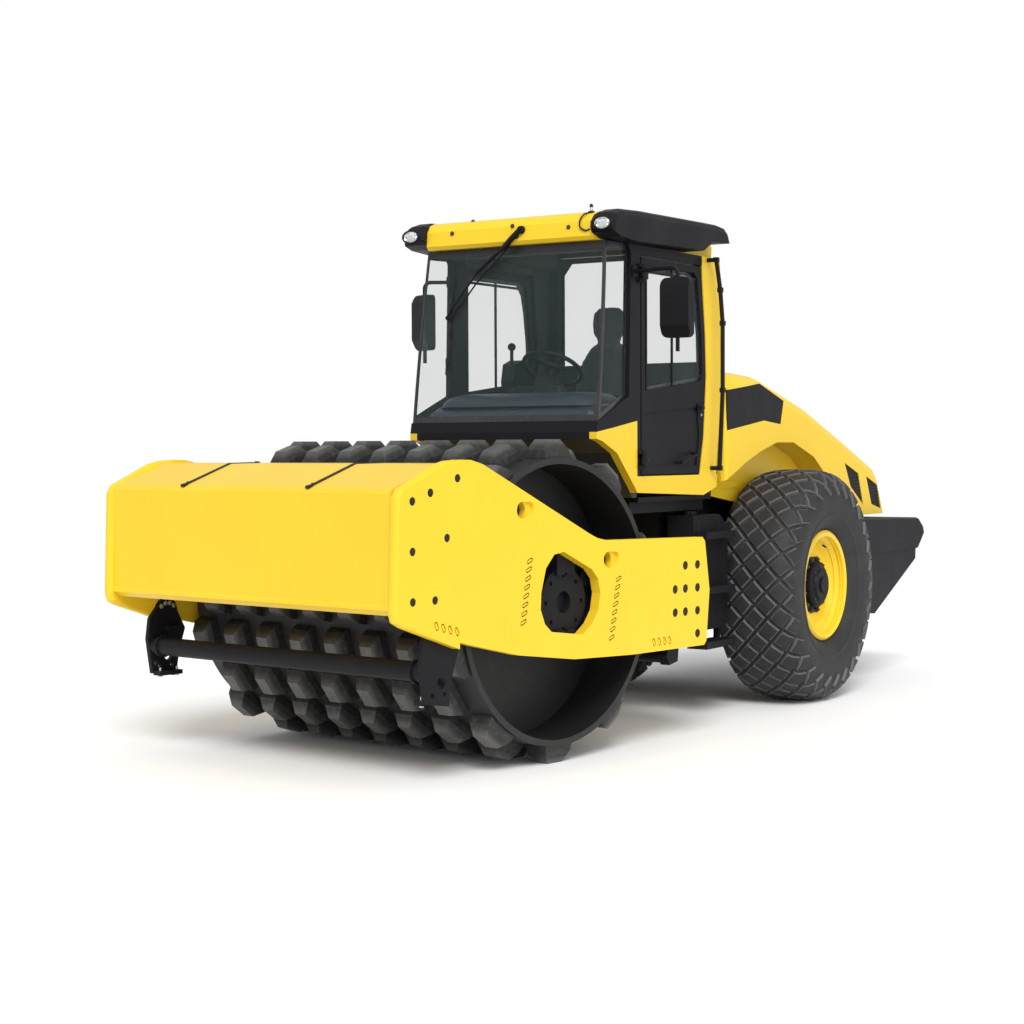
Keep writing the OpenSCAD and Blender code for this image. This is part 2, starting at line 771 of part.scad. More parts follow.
module cab_sill() {
  color(yellow)
  for (side = [0, 1])
    mirror([0, side, 0])
    xz([[-536, 1480], [-345, 1430], [540, 1462], [570, 1494], [790, 1702], [960, 1770],
        [1030, 1785], [1030, 1825], [840, 1850], [540, belt_z], [540, sill_z], [-540, sill_z]],
       cab_in, cab_y);
}

// rear window, cut through the back wall up into the roof cap
window_y = cab_y - 130;
window_top = 3020;
lamp_y = cab_y + 15;
lamp_z = 3035;
lamp_r = 40;

module cab_rear() {
  color(yellow)
  union() {
    for (side = [0, 1])
      mirror([0, side, 0])
      difference() {
        xz(concat(pillar_front, pillar_back), cab_in, cab_y);
        edge_cuts([for (i = [4 : -1 : 0]) pillar_back[i]], cab_in - 40, cab_y, 22);
      }
    difference() {
      union() {
        block(cab_back, -550, -cab_in, cab_in, 1800, eave_z);
        xz([[-550, 1430], [-520, 1430], [-550, 1801], [-590, 1801]], -cab_in, cab_in);
      }
      block(cab_back - 1, -540, -window_y, window_y, 2050, eave_z + 1);
    }
    for (y = [-hood_hinge_y, hood_hinge_y]) {
      cyl_y(hood_hinge_x, hood_hinge_z, y - 38, y + 38, 8);
      for (s = [y - 38, y + 25]) {
        cyl_y(hood_hinge_x, hood_hinge_z, s, s + 13, 13);
        block(hood_hinge_x, cab_back + 1, s, s + 13, hood_hinge_z - 7, hood_hinge_z + 12);
      }
    }
  }
}

module cab_front() {
  color(black)
  union() {
    for (side = [0, 1])
      mirror([0, side, 0]) {
        xz([[500, sill_z], [540, sill_z], [540, belt_z], [840, 1850], [1030, 1825],
            [1018, 1889], [1005, 1889.5], [640, 2040], [612, 2890], [648, eave_z],
            [500, eave_z]], cab_in, cab_y);
        block(-325, 501, cab_in, cab_y, head_z, eave_z);
        xz([[647, head_z + 20], [870, head_z + 20], [862, eave_z], [647, eave_z]], cab_in, cab_y - 31);
      }
    hinge_pins();
    xz([[1030, 1785], [1030, 1825], [1018, 1889], [975, 1889], [975, 1810]], -cab_in, cab_in);
    xz([[866, head_z + 20], [838, head_z + 20], [820, eave_z], [858, eave_z]], -cab_in, cab_in);
    block(600, 822, -cab_in, cab_in, eave_z - 14, eave_z);
  }
}

roof_y = cab_y - 70;
visor_y = cab_y + 85;

// roof cap: a shell, open below, with the top of the rear window cut in its back
module cab_roof() {
  outline = [[-600, eave_z], [925, eave_z], [942, 2972], [934, roof_z - 60], [905, roof_z - 18],
             [860, roof_z], [-500, roof_z], [-570, roof_z - 30], [-605, roof_z - 90]];
  color(yellow)
  difference() {
    xz(outline, -roof_y, roof_y);
    block(-550, 800, 50 - roof_y, roof_y - 50, eave_z - 1, roof_z - 50);
    block(-620, -540, -window_y, window_y, eave_z - 1, window_top);
    for (y = [-1, 1])
      block(-350, 450, y * 300 - 130, y * 300 + 130, roof_z - 12, roof_z + 1);
  }
}

module visor() {
  top = [[-575, 3060], [-562, 3110], [-500, roof_z + 26], [-420, roof_z + 34],
         [-200, roof_z + 32], [200, roof_z + 25], [600, roof_z + 20], [850, roof_z + 8],
         [940, roof_z - 18], [985, roof_z - 66], [990, 3015]];
  foot = [[955, 2985], [880, 2962], [700, eave_z], [-190, eave_z], [-560, 3030]];
  difference() {
    intersection() {
      crowned(top, foot, roof_y - 14, visor_y, 42);
      xz([[-700, 3060], [-560, 3045], [-300, 3030], [-190, 2968], [0, 2966], [700, eave_z],
          [1100, eave_z], [1100, 3300], [-700, 3300]], roof_y, visor_y);
    }
    cyl_x(lamp_y, lamp_z, 972, 1000, lamp_r);
  }
}

module visor_left() {
  color(black) visor();
}

module visor_right() {
  color(black) on_right() visor();
}

module windscreen() {
  color(glass)
  xz([[1008, 1890], [1016, 1890], [877, 2949], [869, 2949]], -cab_y + 32, cab_y - 32);
}

module side_glass() {
  difference() {
    xz([[1006, 1889.5], [636, 2042.1], [613, 2890], [650, 2949], [868, 2949]], cab_y - 30, cab_y - 22);
    xz([[600, 2000], [644, 2000], [616, 2891], [652, 2951], [600, 2951]], cab_y - 40, cab_y - 10);
  }
}

module side_glass_left() {
  color(glass) side_glass();
}

module side_glass_right() {
  color(glass) on_right() side_glass();
}

module rear_glass() {
  color(glass)
  block(-580, -572, -window_y, window_y, 2050, window_top);
}

// door and right panel share one outline and one window
opening = [[485, 1570], [485, 2880], [-312, 2880], [-364, 2450], [-376, 2186], [-338, 1800],
           [-281, 1570]];
window = [[440, 2075], [440, 2790], [410, 2835], [-215, 2838], [-262, 2800], [-318, 2450],
          [-330, 2200], [-305, 2155]];

module side_leaf() {
  difference() {
    xz(opening, cab_y - 42, cab_y);
    xz(window, cab_y - 50, cab_y + 1);
    xz([[440, 1620], [440, 1940], [-260, 1990], [-285, 1800], [-245, 1620]], cab_y - 8, cab_y + 1);
  }
  // sliding pane frame
  for (x = [400, 62]) block(x, x + 16, cab_y - 16, cab_y - 6, 2070, 2838);
  block(-290, 441, cab_y - 16, cab_y - 6, 2790, 2806);
}

// door hinges: pins on the front pillar, knuckles on the door
hinge_x = 495;
hinge_y = cab_y + 22;
hinge_heights = [1660, 2780];

module hinge_pins() {
  for (z = hinge_heights) {
    cyl_z(hinge_x, hinge_y, z - 55, z + 55, 9);
    for (s = [z - 55, z + 35]) {
      cyl_z(hinge_x, hinge_y, s, s + 20, 20);
      block(hinge_x, hinge_x + 44, cab_y - 1, hinge_y, s, s + 20);
    }
  }
}

module hinge_knuckles() {
  for (z = hinge_heights)
    difference() {
      union() {
        cyl_z(hinge_x, hinge_y, z - 34, z + 34, 20);
        block(hinge_x - 60, hinge_x, cab_y - 1, hinge_y, z - 34, z + 34);
      }
      cyl_z(hinge_x, hinge_y, z - 40, z + 40, 9 + fit);
    }
}

module door() {
  color(black)
  union() {
    side_leaf();
    hinge_knuckles();
    tube_path([[-190, cab_y - 9, 1700], [-190, cab_y + 34, 1692], [20, cab_y + 34, 1642],
               [20, cab_y - 9, 1640]], 9);
  }
}

module door_glass() {
  color(glass) xz(window, cab_y - 26, cab_y - 18);
}

module right_panel() {
  color(black) on_right()
  union() {
    side_leaf();
    difference() {
      xz([[499, sill_z], [499, 2889], [-324, 2889], [-376, 2450], [-387, 2186], [-349, 1800],
          [-291, sill_z]], cab_y - 42, cab_y - 10);
      xz(opening, cab_y - 43, cab_y);
    }
  }
}

module right_glass() {
  color(glass) on_right() xz(window, cab_y - 26, cab_y - 18);
}

// front cowl with a crowned top
module dashboard() {
  top = [[440, 1850], [470, 1950], [560, 1990], [700, 2004], [850, 1990], [935, 1955], [970, 1900]];
  color(slate)
  union() {
    crowned(top, [[970, 1801], [440, 1801]], -cab_in + 10, cab_in - 10, 48);
    xz([[440, 1430], [500, 1430], [560, 1500], [760, 1700], [970, 1800], [970, 1802], [440, 1802]],
       -cab_in + 10, cab_in - 10);
  }
}

module steering_wheel() {
  hub = [425, 0, 2228];
  color(black)
  union() {
    xz([[439.5, 1851], [469.6, 1950.4], [559.7, 1990.4], [560, 2060], [525, 2160], [445, 2200],
        [402, 2150], [424, 1960], [430, 1851]], -70, 70);
    bar([472, 0, 2140], hub, 24);
    translate(hub) rotate([0, -31, 0]) {
      rotate_extrude() translate([185, 0]) circle(r = 14);
      cylinder(h = 22, r = 52, center = true);
      for (a = [90, 210, 330]) rotate([0, 0, a]) translate([30, -14, -6]) cube([157, 28, 12]);
    }
  }
}

module seat_base() {
  color(black)
  union() {
    xz([[-230, 1430], [150, 1430], [120, 1520], [90, 1700], [160, 1750], [-260, 1750],
        [-200, 1700], [-220, 1520]], -190, 190);
    for (side = [-1, 1]) {
      y0 = side > 0 ? 270 : -370;
      block(-150, 260, y0, y0 + 100, 2010, 2060);
      block(-100, -40, y0 + 20, y0 + 80, 1700, 2011);
      block(-100, -40, min(y0 + 20, side * 180), max(y0 + 80, side * 180), 1690, 1740);
    }
    // console with the drive lever
    xz([[120, 2055], [430, 2055], [452, 2150], [428, 2262], [350, 2290], [230, 2230],
        [120, 2110]], -366, -274);
    translate([395, -320, 2262])
      rotate_extrude()
      polygon([[0, 0], [11, 0], [11, 88], [20, 94], [26, 106], [26, 116], [19, 130], [8, 136], [0, 136]]);
  }
}

module seat_cushion() {
  color(slate) xz([[-230, 1750], [240, 1750], [262, 1790], [250, 1850], [200, 1872],
                   [-240, 1860]], -250, 250);
}

module seat_back() {
  color(slate)
  union() {
    xz([[-270, 1859.5], [-150, 1862.8], [-230, 2330], [-255, 2420], [-340, 2425], [-365, 2380]],
       -235, 235);
    xz([[-340, 2420], [-255, 2415], [-235, 2480], [-240, 2640], [-275, 2670], [-340, 2665],
        [-365, 2600]], -115, 115);
  }
}

// mirror: a bent arm from the front pillar and a rounded housing with a sunk glass; m is the
// distance of its middle from the centre line, z its foot and a its turn to the driver
mirror_x = 638;

module mirror_arm(m, z, a) {
  x = mirror_x + 28;
  foot = [584, cab_y + 6, 2785];
  out = m - foot[1];
  reach = norm([x - foot[0], out]);
  bend = 40;
  union() {
    block(556, 608, cab_y, cab_y + 12, 2752, 2818);
    translate(foot) rotate([0, 0, atan2(out, x - foot[0])]) {
      rotate([0, 90, 0]) cylinder(h = reach - bend, r = 12);
      translate([reach - bend, 0, -bend]) rotate([90, 0, 0])
        rotate_extrude(angle = 90) translate([bend, 0]) circle(r = 12);
      translate([reach, 0, z - 80 - foot[2]]) cylinder(h = foot[2] - bend - z + 80, r = 12);
    }
    translate([x, m, z]) rotate([0, 0, a])
    difference() {
      intersection() {
        xz([[-28, 0], [14, 0], [46, 70], [46, 300], [24, 350], [-28, 350]], -94, 94);
        yz(round_rect(-94, 94, 0, 350, 32), -36, 54);
      }
      yz(round_rect(-80, 80, 14, 336, 22), -36, -22);
    }
  }
}

module mirror_left() {
  color(black) mirror_arm(cab_y + 338, 2375, 0);
}

module mirror_right() {
  color(black) on_right() mirror_arm(cab_y + 140, 2355, 28);
}

// curved grab rails beside the rear pillars
module grab_rail() {
  y = cab_y + 62;
  color(black)
  for (side = [0, 1])
    mirror([0, side, 0])
    tube_path([[-405, cab_y, 2930], [-405, y, 2930], [-463, y, 2742], [-497, y, 2531],
               [-496, y, 2102], [-451, y, 1600], [-451, cab_y, 1600]], 14);
}

// Wheels: tyre, rim and hub turned about the axle.
bead = tyre_w / 2 - 75;
seat_r = rim_r - 25;
disc_in = 98;
disc_out = 116;
hub_r = 150;

function both_sides(half) = concat(half, [for (i = [len(half) - 1 : -1 : 0]) [half[i][0], -half[i][1]]]);

module wheel_turn(half) {
  translate([axle_x, track / 2, tyre_r])
  rotate([90, 0, 0])
  rotate_extrude()
  polygon(both_sides(half));
}

module tyre() {
  o = tyre_w / 2;
  wheel_turn([[seat_r, -bead], [rim_r + 8, -bead], [rim_r + 24, -bead - 24],
              [rim_r + 80, 15 - o], [(rim_r + tyre_r) / 2, -o], [tyre_r - 135, 5 - o],
              [tyre_r - 75, 26 - o], [tyre_r - 32, 66 - o], [tyre_r - 9, 126 - o],
              [tyre_r, -70]]);
}

module rim() {
  b = bead + seat_gap;
  s = seat_r - seat_gap;
  translate([axle_x, track / 2, tyre_r])
  rotate([90, 0, 0])
  rotate_extrude()
  mirror([0, 1])
  polygon([[s, -b], [rim_r, -b], [rim_r, -b - 12], [rim_r - 14, -b - 24], [rim_r - 32, -b - 20],
           [rim_r - 42, 20 - b], [rim_r - 54, -100], [rim_r - 60, 60], [rim_r - 88, disc_in],
           [hub_r + seat_gap, disc_in], [hub_r + seat_gap, disc_out], [rim_r - 96, disc_out],
           [rim_r - 70, disc_out + 26], [rim_r - 60, b - 34], [rim_r - 44, b - 22],
           [rim_r - 40, b + 16], [rim_r - 14, b + 24], [rim_r, b + 12], [rim_r, b], [s, b]]);
}

module hub() {
  stub = track / 2 - 190;
  translate([axle_x, 0, tyre_r])
  rotate([-90, 0, 0])
  translate([0, 0, track / 2])
  rotate_extrude()
  polygon([[hub_bore + fit, -182], [120, -182], [120, disc_in - 30], [hub_r + 36, disc_in - 20],
           [hub_r + 36, disc_in - seat_gap], [hub_r, disc_in - seat_gap], [hub_r, 162],
           [hub_r - 12, 174], [112, 178], [104, 194], [52, 194], [52, 206], [0, 206],
           [0, -60], [hub_bore + fit, -60]]);
}

module tyre_left() {
  color(rubber) tyre();
}

module tyre_right() {
  color(rubber) on_right() tyre();
}

module rim_left() {
  color(yellow) rim();
}

module rim_right() {
  color(yellow) on_right() rim();
}

module hub_left() {
  color(black) hub();
}

module hub_right() {
  color(black) on_right() hub();
}

rear_pose() rear_chassis();
rear_pose() rear_axle();
rear_pose() engine_block();
rear_pose() tank_left();
rear_pose() tank_right();
rear_pose() counterweight();
rear_pose() hood();
rear_pose() hood_grilles();
rear_pose() cab_floor();
rear_pose() cab_sill();
rear_pose() cab_rear();
rear_pose() cab_front();
rear_pose() cab_roof();
rear_pose() visor_left();
rear_pose() visor_right();
rear_pose() windscreen();
rear_pose() side_glass_left();
rear_pose() side_glass_right();
rear_pose() rear_glass();
rear_pose() right_panel();
rear_pose() right_glass();
rear_pose() door();
rear_pose() door_glass();
rear_pose() dashboard();
rear_pose() steering_wheel();
rear_pose() seat_base();
rear_pose() seat_cushion();
rear_pose() seat_back();
rear_pose() mirror_left();
rear_pose() mirror_right();
rear_pose() grab_rail();
rear_pose() tyre_left();
rear_pose() rim_left();
rear_pose() hub_left();
rear_pose() tyre_right();
rear_pose() rim_right();
rear_pose() hub_right();
front_pose() centre_joint();
front_pose() side_plate_left();
front_pose() side_plate_right();
front_pose() front_box();
front_pose() rear_crossmember();
front_pose() scraper_front();
front_pose() scraper_rear();
front_pose() drum_mount_left();
front_pose() drum_mount_right();
front_pose() drum();
rear_pose() barrel_left();
rear_pose() rod_left();
rear_pose() barrel_right();
rear_pose() rod_right();
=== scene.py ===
"""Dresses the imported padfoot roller: finishes, tyres, glazing, trim, lamps, bolts and studio.

Pieces are shaped in millimetres in their group's own axes, x ahead of the kingpin, y to its
left and z above the ground, and are then placed in the row frame by that group's matrix.
"""

import json
import logging
import math
from collections.abc import Callable, Iterable, Sequence
from dataclasses import dataclass
from enum import Enum
from functools import partialmethod

import bmesh
import bpy
from mathutils import Matrix, Vector


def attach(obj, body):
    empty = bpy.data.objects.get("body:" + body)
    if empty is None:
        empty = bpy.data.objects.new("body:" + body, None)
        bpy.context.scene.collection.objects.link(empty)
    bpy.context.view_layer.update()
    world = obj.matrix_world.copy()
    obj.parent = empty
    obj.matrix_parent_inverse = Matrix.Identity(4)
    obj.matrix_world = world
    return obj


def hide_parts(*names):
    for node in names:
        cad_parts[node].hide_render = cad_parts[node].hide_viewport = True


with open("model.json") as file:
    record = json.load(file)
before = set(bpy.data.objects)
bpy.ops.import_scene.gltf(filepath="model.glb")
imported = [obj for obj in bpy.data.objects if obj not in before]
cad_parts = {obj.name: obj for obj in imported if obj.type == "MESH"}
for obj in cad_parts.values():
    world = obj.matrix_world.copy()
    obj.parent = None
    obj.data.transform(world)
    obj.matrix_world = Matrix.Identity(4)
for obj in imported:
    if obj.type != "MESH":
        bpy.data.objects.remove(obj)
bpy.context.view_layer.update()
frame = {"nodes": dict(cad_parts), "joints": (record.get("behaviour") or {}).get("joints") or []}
LOG = logging.getLogger("padfoot_roller")

Point = tuple[float, float, float]
Flat = tuple[float, float]
Colour = tuple[float, float, float]
Level = tuple[float, float, float, float]

JOINTS = {joint["name"]: joint for joint in frame["joints"]}
PIVOT = Vector(JOINTS["steer"]["pos_m"])
DRUM_AXIS = Vector(JOINTS["drum_roll"]["axis"])
STEER_REST = math.atan2(-DRUM_AXIS.x, DRUM_AXIS.y)
KINGPIN = Matrix.Translation((PIVOT.x, PIVOT.y, 0))
MILLI = Matrix.Scale(0.001, 4)
AXLE_TURN = Matrix.Rotation(math.radians(-90), 4, "X")
SIDES = (("left", 1), ("right", -1))

# A bolt's washer and head, as shares of the radius of its head's corners.
WASHER_WIDTH, WASHER_HEIGHT = 1.22, 0.22
HEAD_FOOT, HEAD_HEIGHT, HEAD_EDGE = 0.2, 0.62, 0.1


class Site(Enum):
    """Matrices from a group's millimetres to the row frame."""

    REAR = KINGPIN @ MILLI
    FRONT = KINGPIN @ Matrix.Rotation(STEER_REST, 4, "Z") @ MILLI
    WHEEL_LEFT = Matrix.Translation(JOINTS["wheel_left_roll"]["pos_m"]) @ MILLI
    WHEEL_RIGHT = (
        Matrix.Translation(JOINTS["wheel_right_roll"]["pos_m"])
        @ Matrix.Diagonal((1, -1, 1, 1))
        @ MILLI
    )


class Term:
    """A socket that takes part in arithmetic; each operation adds its Math node."""

    def __init__(self, book: "NodeBook", socket: bpy.types.NodeSocket) -> None:
        """Wraps one output socket of a material.

        Args:
            book: The writer of the material that the socket is in.
            socket: The output socket.
        """
        self.book = book
        self.socket = socket

    def _math(self, operation: str, other: "Term | float" = 0.0, swap: bool = False) -> "Term":
        """Result of one Math node on this term and another, in swapped order on request."""
        pair = (other, self) if swap else (self, other)
        return self.book.term("ShaderNodeMath", dict(enumerate(pair)), operation=operation)

    __add__ = __radd__ = partialmethod(_math, "ADD")
    __mul__ = __rmul__ = partialmethod(_math, "MULTIPLY")
    __sub__ = partialmethod(_math, "SUBTRACT")
    __rsub__ = partialmethod(_math, "SUBTRACT", swap=True)
    __abs__ = partialmethod(_math, "ABSOLUTE")

    def above(self, low: float, high: float) -> "Term":
        """Smooth step of this term from 0 at low to 1 at high."""
        return self.book.term(
            "ShaderNodeMapRange",
            {"Value": self, "From Min": low, "From Max": high},
            "Result",
            interpolation_type="SMOOTHSTEP",
        )


class NodeBook:
    """Writes the nodes of one material."""

    def __init__(self, name: str) -> None:
        """Starts an empty material.

        Args:
            name: The material's name.
        """
        self.material = bpy.data.materials.new(name)
        self.material.use_nodes = True
        self.tree = self.material.node_tree
        self.tree.nodes.clear()
        self.place = self.add("ShaderNodeTexCoord").outputs["Object"]

    def add(
        self, kind: str, sockets: dict[int | str, object] | None = None, **settings: object
    ) -> bpy.types.Node:
        """Adds a node, with its settings first and then its sockets.

        Args:
            kind: The node's type.
            sockets: Values, terms or sockets by the input's name or number.
            **settings: The node's properties.

        Returns:
            The new node.
        """
        node = self.tree.nodes.new(kind)
        for key, value in settings.items():
            setattr(node, key, value)
        for key, value in (sockets or {}).items():
            source = value.socket if isinstance(value, Term) else value
            if isinstance(source, bpy.types.NodeSocket):
                self.tree.links.new(source, node.inputs[key])
            else:
                node.inputs[key].default_value = source
        return node

    def term(
        self,
        kind: str,
        sockets: dict[int | str, object],
        output: int | str = 0,
        **settings: object,
    ) -> Term:
        """Adds a node as add() does, and gives one of its outputs."""
        return Term(self, self.add(kind, sockets, **settings).outputs[output])

    def noise(self, scale: float, detail: float = 3.0, rough: float = 0.55) -> Term:
        """Cloudy pattern on the piece's own place, from 0 to 1."""
        return self.term(
            "ShaderNodeTexNoise",
            {"Vector": self.place, "Scale": scale, "Detail": detail, "Roughness": rough},
            "Fac",
        )

    def axis(self, name: str) -> Term:
        """One coordinate, X, Y or Z, of the place in metres."""
        return self.term("ShaderNodeSeparateXYZ", {0: self.place}, name)

    def mix(self, factor: Term, first: Term | Colour, second: Term | Colour) -> Term:
        """Colour between two colours or terms."""
        a, b = (c if isinstance(c, Term) else (*c, 1) for c in (first, second))
        return self.term("ShaderNodeMix", {0: factor, 6: a, 7: b}, 2, data_type="RGBA")

    def bump(self, height: Term, strength: float, distance: float) -> Term:
        """Normal that a height pattern gives, with its depth in metres."""
        return self.term(
            "ShaderNodeBump", {"Height": height, "Strength": strength, "Distance": distance}
        )

    def surface(self, sockets: dict[int | str, object]) -> bpy.types.Material:
        """Ends the material with one Principled surface.

        Args:
            sockets: The surface's sockets.

        Returns:
            The finished material.
        """
        return self.end(self.add("ShaderNodeBsdfPrincipled", sockets))

    def end(self, shader: bpy.types.Node) -> bpy.types.Material:
        """Leads a shader to the material's output."""
        self.add("ShaderNodeOutputMaterial", {0: shader.outputs[0]})
        return self.material


@dataclass(frozen=True)
class Coating:
    """A named finish; each kind says what its surface takes."""

    name: str

    def sockets(self, book: NodeBook) -> dict[int | str, object]:
        """Writes the nodes of the finish and returns the surface's sockets."""
        raise NotImplementedError

    def make(self) -> bpy.types.Material:
        """Writes the material."""
        book = NodeBook(self.name + "_finish")
        return book.surface(self.sockets(book))


@dataclass(frozen=True)
class MachinePaint(Coating):
    """Sprayed machine paint: soft drift of colour, orange peel and a little dust low down."""

    colour: Colour
    shade: Colour
    rough: float = 0.38
    coat: float = 0.12
    peel: float = 0.04
    gloss: float = 0.3
    dust_fade: Flat = (0.2, 1.3)

    def sockets(self, book: NodeBook) -> dict[int | str, object]:
        """Drifting colour, with dust that fades out upwards, in metres."""
        drift = book.noise(1.3, 2.0).above(0.3, 0.75)
        paint = book.mix(drift * 0.55, self.colour, self.shade)
        high = book.axis("Z").above(*self.dust_fade)
        dust = book.noise(9.0, 5.0).above(0.5, 0.85) * (1 - high)
        dusty = tuple(c * 0.8 + 0.012 for c in self.shade)
        return {
            "Base Color": book.mix(dust * 0.5, paint, dusty),
            "Roughness": book.noise(5.0) * 0.12 + (self.rough - 0.06) + dust * 0.2,
            "Coat Weight": self.coat,
            "Coat Roughness": 0.12,
            "Specular IOR Level": self.gloss,
            "Normal": book.bump(book.noise(260.0, 1.0), self.peel, 0.001),
        }


@dataclass(frozen=True)
class ShellPaint(Coating):
    """Cab shell: machine paint on its outward skins and dark trim on all inner faces."""

    colour: Colour
    inner: Colour
    half_width: float = 0.652
    rear: float = -0.585
    front: float = 0.815
    roof: float = 3.068
    roof_side: Flat = (0.575, 2.9505)
    sill: float = 1.9

    def sockets(self, book: NodeBook) -> dict[int | str, object]:
        """Outer skins told from inner faces by where they lie, in metres."""
        aside = abs(book.axis("Y") - PIVOT.y)
        along = book.axis("X") - PIVOT.x
        height = book.axis("Z")
        normal = book.add("ShaderNodeNewGeometry").outputs["Normal"]
        upward = book.term("ShaderNodeSeparateXYZ", {0: normal}, "Z")
        y, z = self.roof_side
        outer = (
            aside.above(self.half_width - 0.001, self.half_width)
            + (1 - along.above(self.rear - 0.001, self.rear))
            + along.above(self.front - 0.001, self.front)
            + height.above(self.roof - 0.001, self.roof)
            + aside.above(y, y + 0.001) * height.above(z, z + 0.0005)
            + (1 - upward.above(-0.4, -0.3)) * (1 - height.above(self.sill, self.sill + 0.01))
        ).above(0.4, 0.6)
        drift = book.noise(1.3, 2.0).above(0.3, 0.75)
        paint = book.mix(drift * 0.55, self.colour, tuple(c * 0.93 for c in self.colour))
        return {
            "Base Color": book.mix(outer, self.inner, paint),
            "Roughness": 0.62 - outer * 0.24 + book.noise(5.0) * 0.08,
            "Coat Weight": outer * 0.12,
            "Specular IOR Level": 0.3,
            "Normal": book.bump(book.noise(260.0, 1.0), 0.04, 0.001),
        }


@dataclass(frozen=True)
class MouldedPlastic(Coating):
    """Grained plastic with a fine leather-like skin."""

    colour: Colour
    grain: float = 420.0
    rough: float = 0.55
    depth: float = 0.08
    gloss: float = 0.35

    def sockets(self, book: NodeBook) -> dict[int | str, object]:
        """Clouded colour over small cells."""
        pale = tuple(min(1.0, c * 1.35 + 0.004) for c in self.colour)
        cells = book.term(
            "ShaderNodeTexVoronoi", {"Vector": book.place, "Scale": self.grain}, "Distance"
        )
        return {
            "Base Color": book.mix(book.noise(3.0).above(0.35, 0.8), self.colour, pale),
            "Roughness": book.noise(22.0, 2.0) * 0.14 + (self.rough - 0.07),
            "Specular IOR Level": self.gloss,
            "Normal": book.bump(cells * 0.7 + book.noise(90.0) * 0.3, self.depth, 0.0006),
        }


@dataclass(frozen=True)
class DrumSteel(Coating):
    """Dark painted drum with rolling marks and paler pad tips, lighter from wear and also as a
    painted highlight.
    """

    colour: Colour = (0.0095, 0.0095, 0.010)
    # Pale steel of worn pads, which also serves as the painted highlight on their tips.
    wear_and_highlight: Colour = (0.22, 0.218, 0.21)
    shell: Flat = (0.793, 0.80)
    tips: Flat = (0.85, 0.888)

    def sockets(self, book: NodeBook) -> dict[int | str, object]:
        """Wear, and a painted highlight on the pad tips, that grow with the distance from the
        drum's axis.
        """
        centre = tuple(JOINTS["drum_roll"]["pos_m"])
        along = book.term(
            "ShaderNodeVectorMath", {0: book.place, 1: centre}, operation="SUBTRACT"
        )
        cross = book.term(
            "ShaderNodeVectorMath", {0: along, 1: tuple(DRUM_AXIS)}, operation="CROSS_PRODUCT"
        )
        reach = book.term("ShaderNodeVectorMath", {0: cross}, "Value", operation="LENGTH")
        pads = reach.above(*self.shell)
        # Paler pad tips: partly wear, partly a painted highlight.
        tips = reach.above(*self.tips) * (book.noise(14.0, 5.0) * 0.6 + 0.55)
        marks = book.noise(30.0, 6.0, 0.7).above(0.45, 0.75)
        wear = pads * 0.07 + tips * 0.4 + marks * pads * 0.16 + marks * 0.03
        skin = book.noise(120.0, 4.0) * 0.5 + book.noise(14.0) * 0.5
        return {
            "Base Color": book.mix(wear, self.colour, self.wear_and_highlight),
            "Roughness": 0.44 - tips * 0.1 + book.noise(18.0) * 0.16,
            "Metallic": pads * 0.25,
            "Normal": book.bump(skin, 0.22, 0.0015),
        }


@dataclass(frozen=True)
class TyreRubber(Coating):
    """Moulded rubber with a dull bloom."""

    colour: Colour = (0.012, 0.012, 0.0135)
    bloom: Colour = (0.045, 0.045, 0.048)

    def sockets(self, book: NodeBook) -> dict[int | str, object]:
        """Cloudy and speckled bloom over a fine skin."""
        cloud = book.noise(6.0, 6.0, 0.65).above(0.4, 0.75)
        speck = book.noise(60.0, 4.0).above(0.5, 0.7)
        skin = book.noise(240.0) * 0.7 + book.noise(24.0, 2.0) * 0.3
        return {
            "Base Color": book.mix(cloud * 0.35 + speck * 0.16, self.colour, self.bloom),
            "Roughness": 0.58 + book.noise(12.0) * 0.16,
            "Normal": book.bump(skin, 0.3, 0.0008),
        }


@dataclass(frozen=True)
class SeatCloth(Coating):
    """Woven seat cloth: crossed sets of threads with a soft sheen."""

    colour: Colour = (0.030, 0.034, 0.041)
    thread: Colour = (0.075, 0.082, 0.096)
    pitch: float = 150.0

    def sockets(self, book: NodeBook) -> dict[int | str, object]:
        """Threads along three crossed directions."""
        slant = (0.4, 0.5, math.radians(45))
        turned = book.term("ShaderNodeMapping", {"Vector": book.place, "Rotation": slant})
        weave: Term | float = 0.0
        for direction in "XYZ":
            wave = book.term(
                "ShaderNodeTexWave",
                {"Vector": turned, "Scale": self.pitch, "Distortion": 0.4},
                "Fac",
                bands_direction=direction,
            )
            weave = wave * 0.34 + weave
        fluff = book.noise(35.0, 4.0) * 0.4
        return {
            "Base Color": book.mix(weave * 0.7 + fluff * 0.5, self.colour, self.thread),
            "Roughness": 0.85,
            "Sheen Weight": 0.25,
            "Normal": book.bump(weave, 0.4, 0.0009),
        }


@dataclass(frozen=True)
class Metal(Coating):
    """Bare or plated metal with fine turning marks."""

    colour: Colour
    rough: float = 0.3
    metallic: float = 1.0
    wear: float = 0.2

    def sockets(self, book: NodeBook) -> dict[int | str, object]:
        """Bright colour with dull spots."""
        dull = tuple(c * 0.6 for c in self.colour)
        spots = book.noise(45.0, 5.0).above(0.45, 0.8)
        return {
            "Base Color": book.mix(spots * self.wear, self.colour, dull),
            "Metallic": self.metallic,
            "Roughness": book.noise(80.0) * 0.18 + (self.rough - 0.09),
            "Normal": book.bump(book.noise(500.0, 2.0), 0.08, 0.0005),
        }


